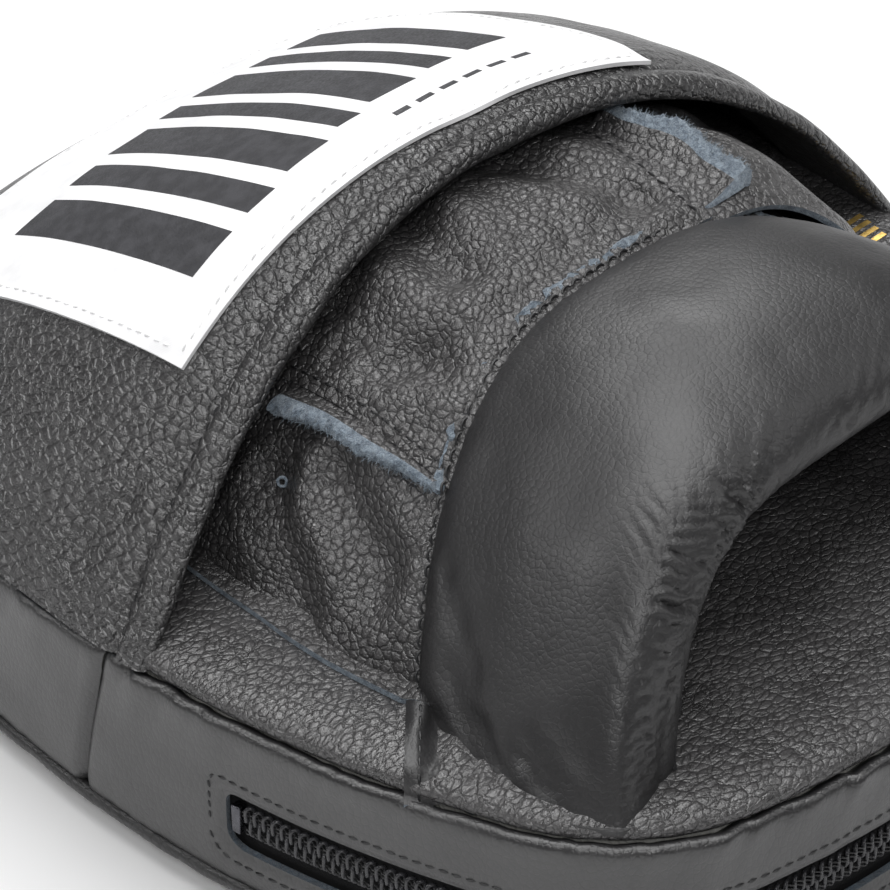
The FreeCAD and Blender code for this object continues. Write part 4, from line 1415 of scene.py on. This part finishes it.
softened("zip_slider_metal", "zip_slider", "slider", 0.22)
softened("zip_pull_metal", "zip_pull", "pull", 0.22)
softened("zip_start_stop_metal", "zip_start_stop", "pad", 0.3)
softened("zip_end_stop_metal", "zip_end_stop", "pad", 0.3)

# the foam inside is never seen, but it gets a foam finish
for foam in ("foam_strike", "foam_core", "foam_back"):
    for material_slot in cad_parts[foam].material_slots:
        material_slot.material = FOAM


# ---------------------------------------------------------------- stage, light and camera
def make_stage():
    floor_material = Nodes("pale_floor")
    shade = floor_material.noise(floor_material.scaled(3), detail=1.0)
    floor_material.feed(
        floor_material.surface,
        Base_Color=floor_material.blend(floor_material.remap(shade, 0.3, 0.7), (0.9, 0.9, 0.9), (0.88, 0.88, 0.885)),
        Roughness=0.7,
    )
    half = 4000.0
    corners = [(-half, -half, 0), (half, -half, 0), (half, half, 0), (-half, half, 0)]
    floor = make_object("studio_floor", np.array(corners, float), [[0, 1, 2, 3]], [floor_material.material])
    world = bpy.data.worlds.new("studio")
    bpy.context.scene.world = world
    world.use_nodes = True
    world.node_tree.nodes["Background"].inputs[0].default_value = (1.0, 1.0, 1.0, 1.0)
    world.node_tree.nodes["Background"].inputs[1].default_value = 0.05


# name, place and size in metres, and power in watts
SOFTBOXES = (
    ("top_softbox", (0.0, 0.1, 1.5), 1.3, 17), ("back_softbox", (0.75, 0.85, 1.15), 0.8, 9),
    ("right_softbox", (0.9, -0.9, 1.1), 0.7, 3), ("front_softbox", (-0.8, -0.9, 1.25), 0.5, 7.5),
    ("left_softbox", (-1.0, 0.6, 1.0), 0.4, 4),
)
LIT_PLACE = Vector((0, 0, 0.05))


def area_light(name, place, size, power):
    light = bpy.data.lights.new(name, "AREA")
    light.shape = "DISK"
    light.size = size
    light.energy = power
    lamp = bpy.data.objects.new(name, light)
    lamp.location = place
    lamp.rotation_euler = (LIT_PLACE - Vector(place)).to_track_quat("-Z", "Y").to_euler()
    bpy.context.collection.objects.link(lamp)


CAMERA_AZIMUTH, CAMERA_ELEVATION = math.radians(-44.534), math.radians(39.86)
CAMERA_TARGET = np.array([-15.42, -1.19, 45.0]) * MM
CAMERA_DISTANCE = 715.66 * MM
CAMERA_LENS = 153.47


def make_camera():
    camera_data = bpy.data.cameras.new("camera")
    camera_data.lens = CAMERA_LENS
    camera_data.clip_start = 0.05
    camera = bpy.data.objects.new("camera", camera_data)
    forward = Vector((
        -math.sin(CAMERA_AZIMUTH) * math.cos(CAMERA_ELEVATION),
        math.cos(CAMERA_AZIMUTH) * math.cos(CAMERA_ELEVATION),
        -math.sin(CAMERA_ELEVATION),
    ))
    camera.location = Vector(CAMERA_TARGET) - forward * CAMERA_DISTANCE
    camera.rotation_euler = forward.to_track_quat("-Z", "Y").to_euler()
    bpy.context.collection.objects.link(camera)
    bpy.context.scene.camera = camera


make_stage()
for softbox in SOFTBOXES:
    area_light(*softbox)
make_camera()
bpy.context.scene.view_settings.view_transform = "Standard"
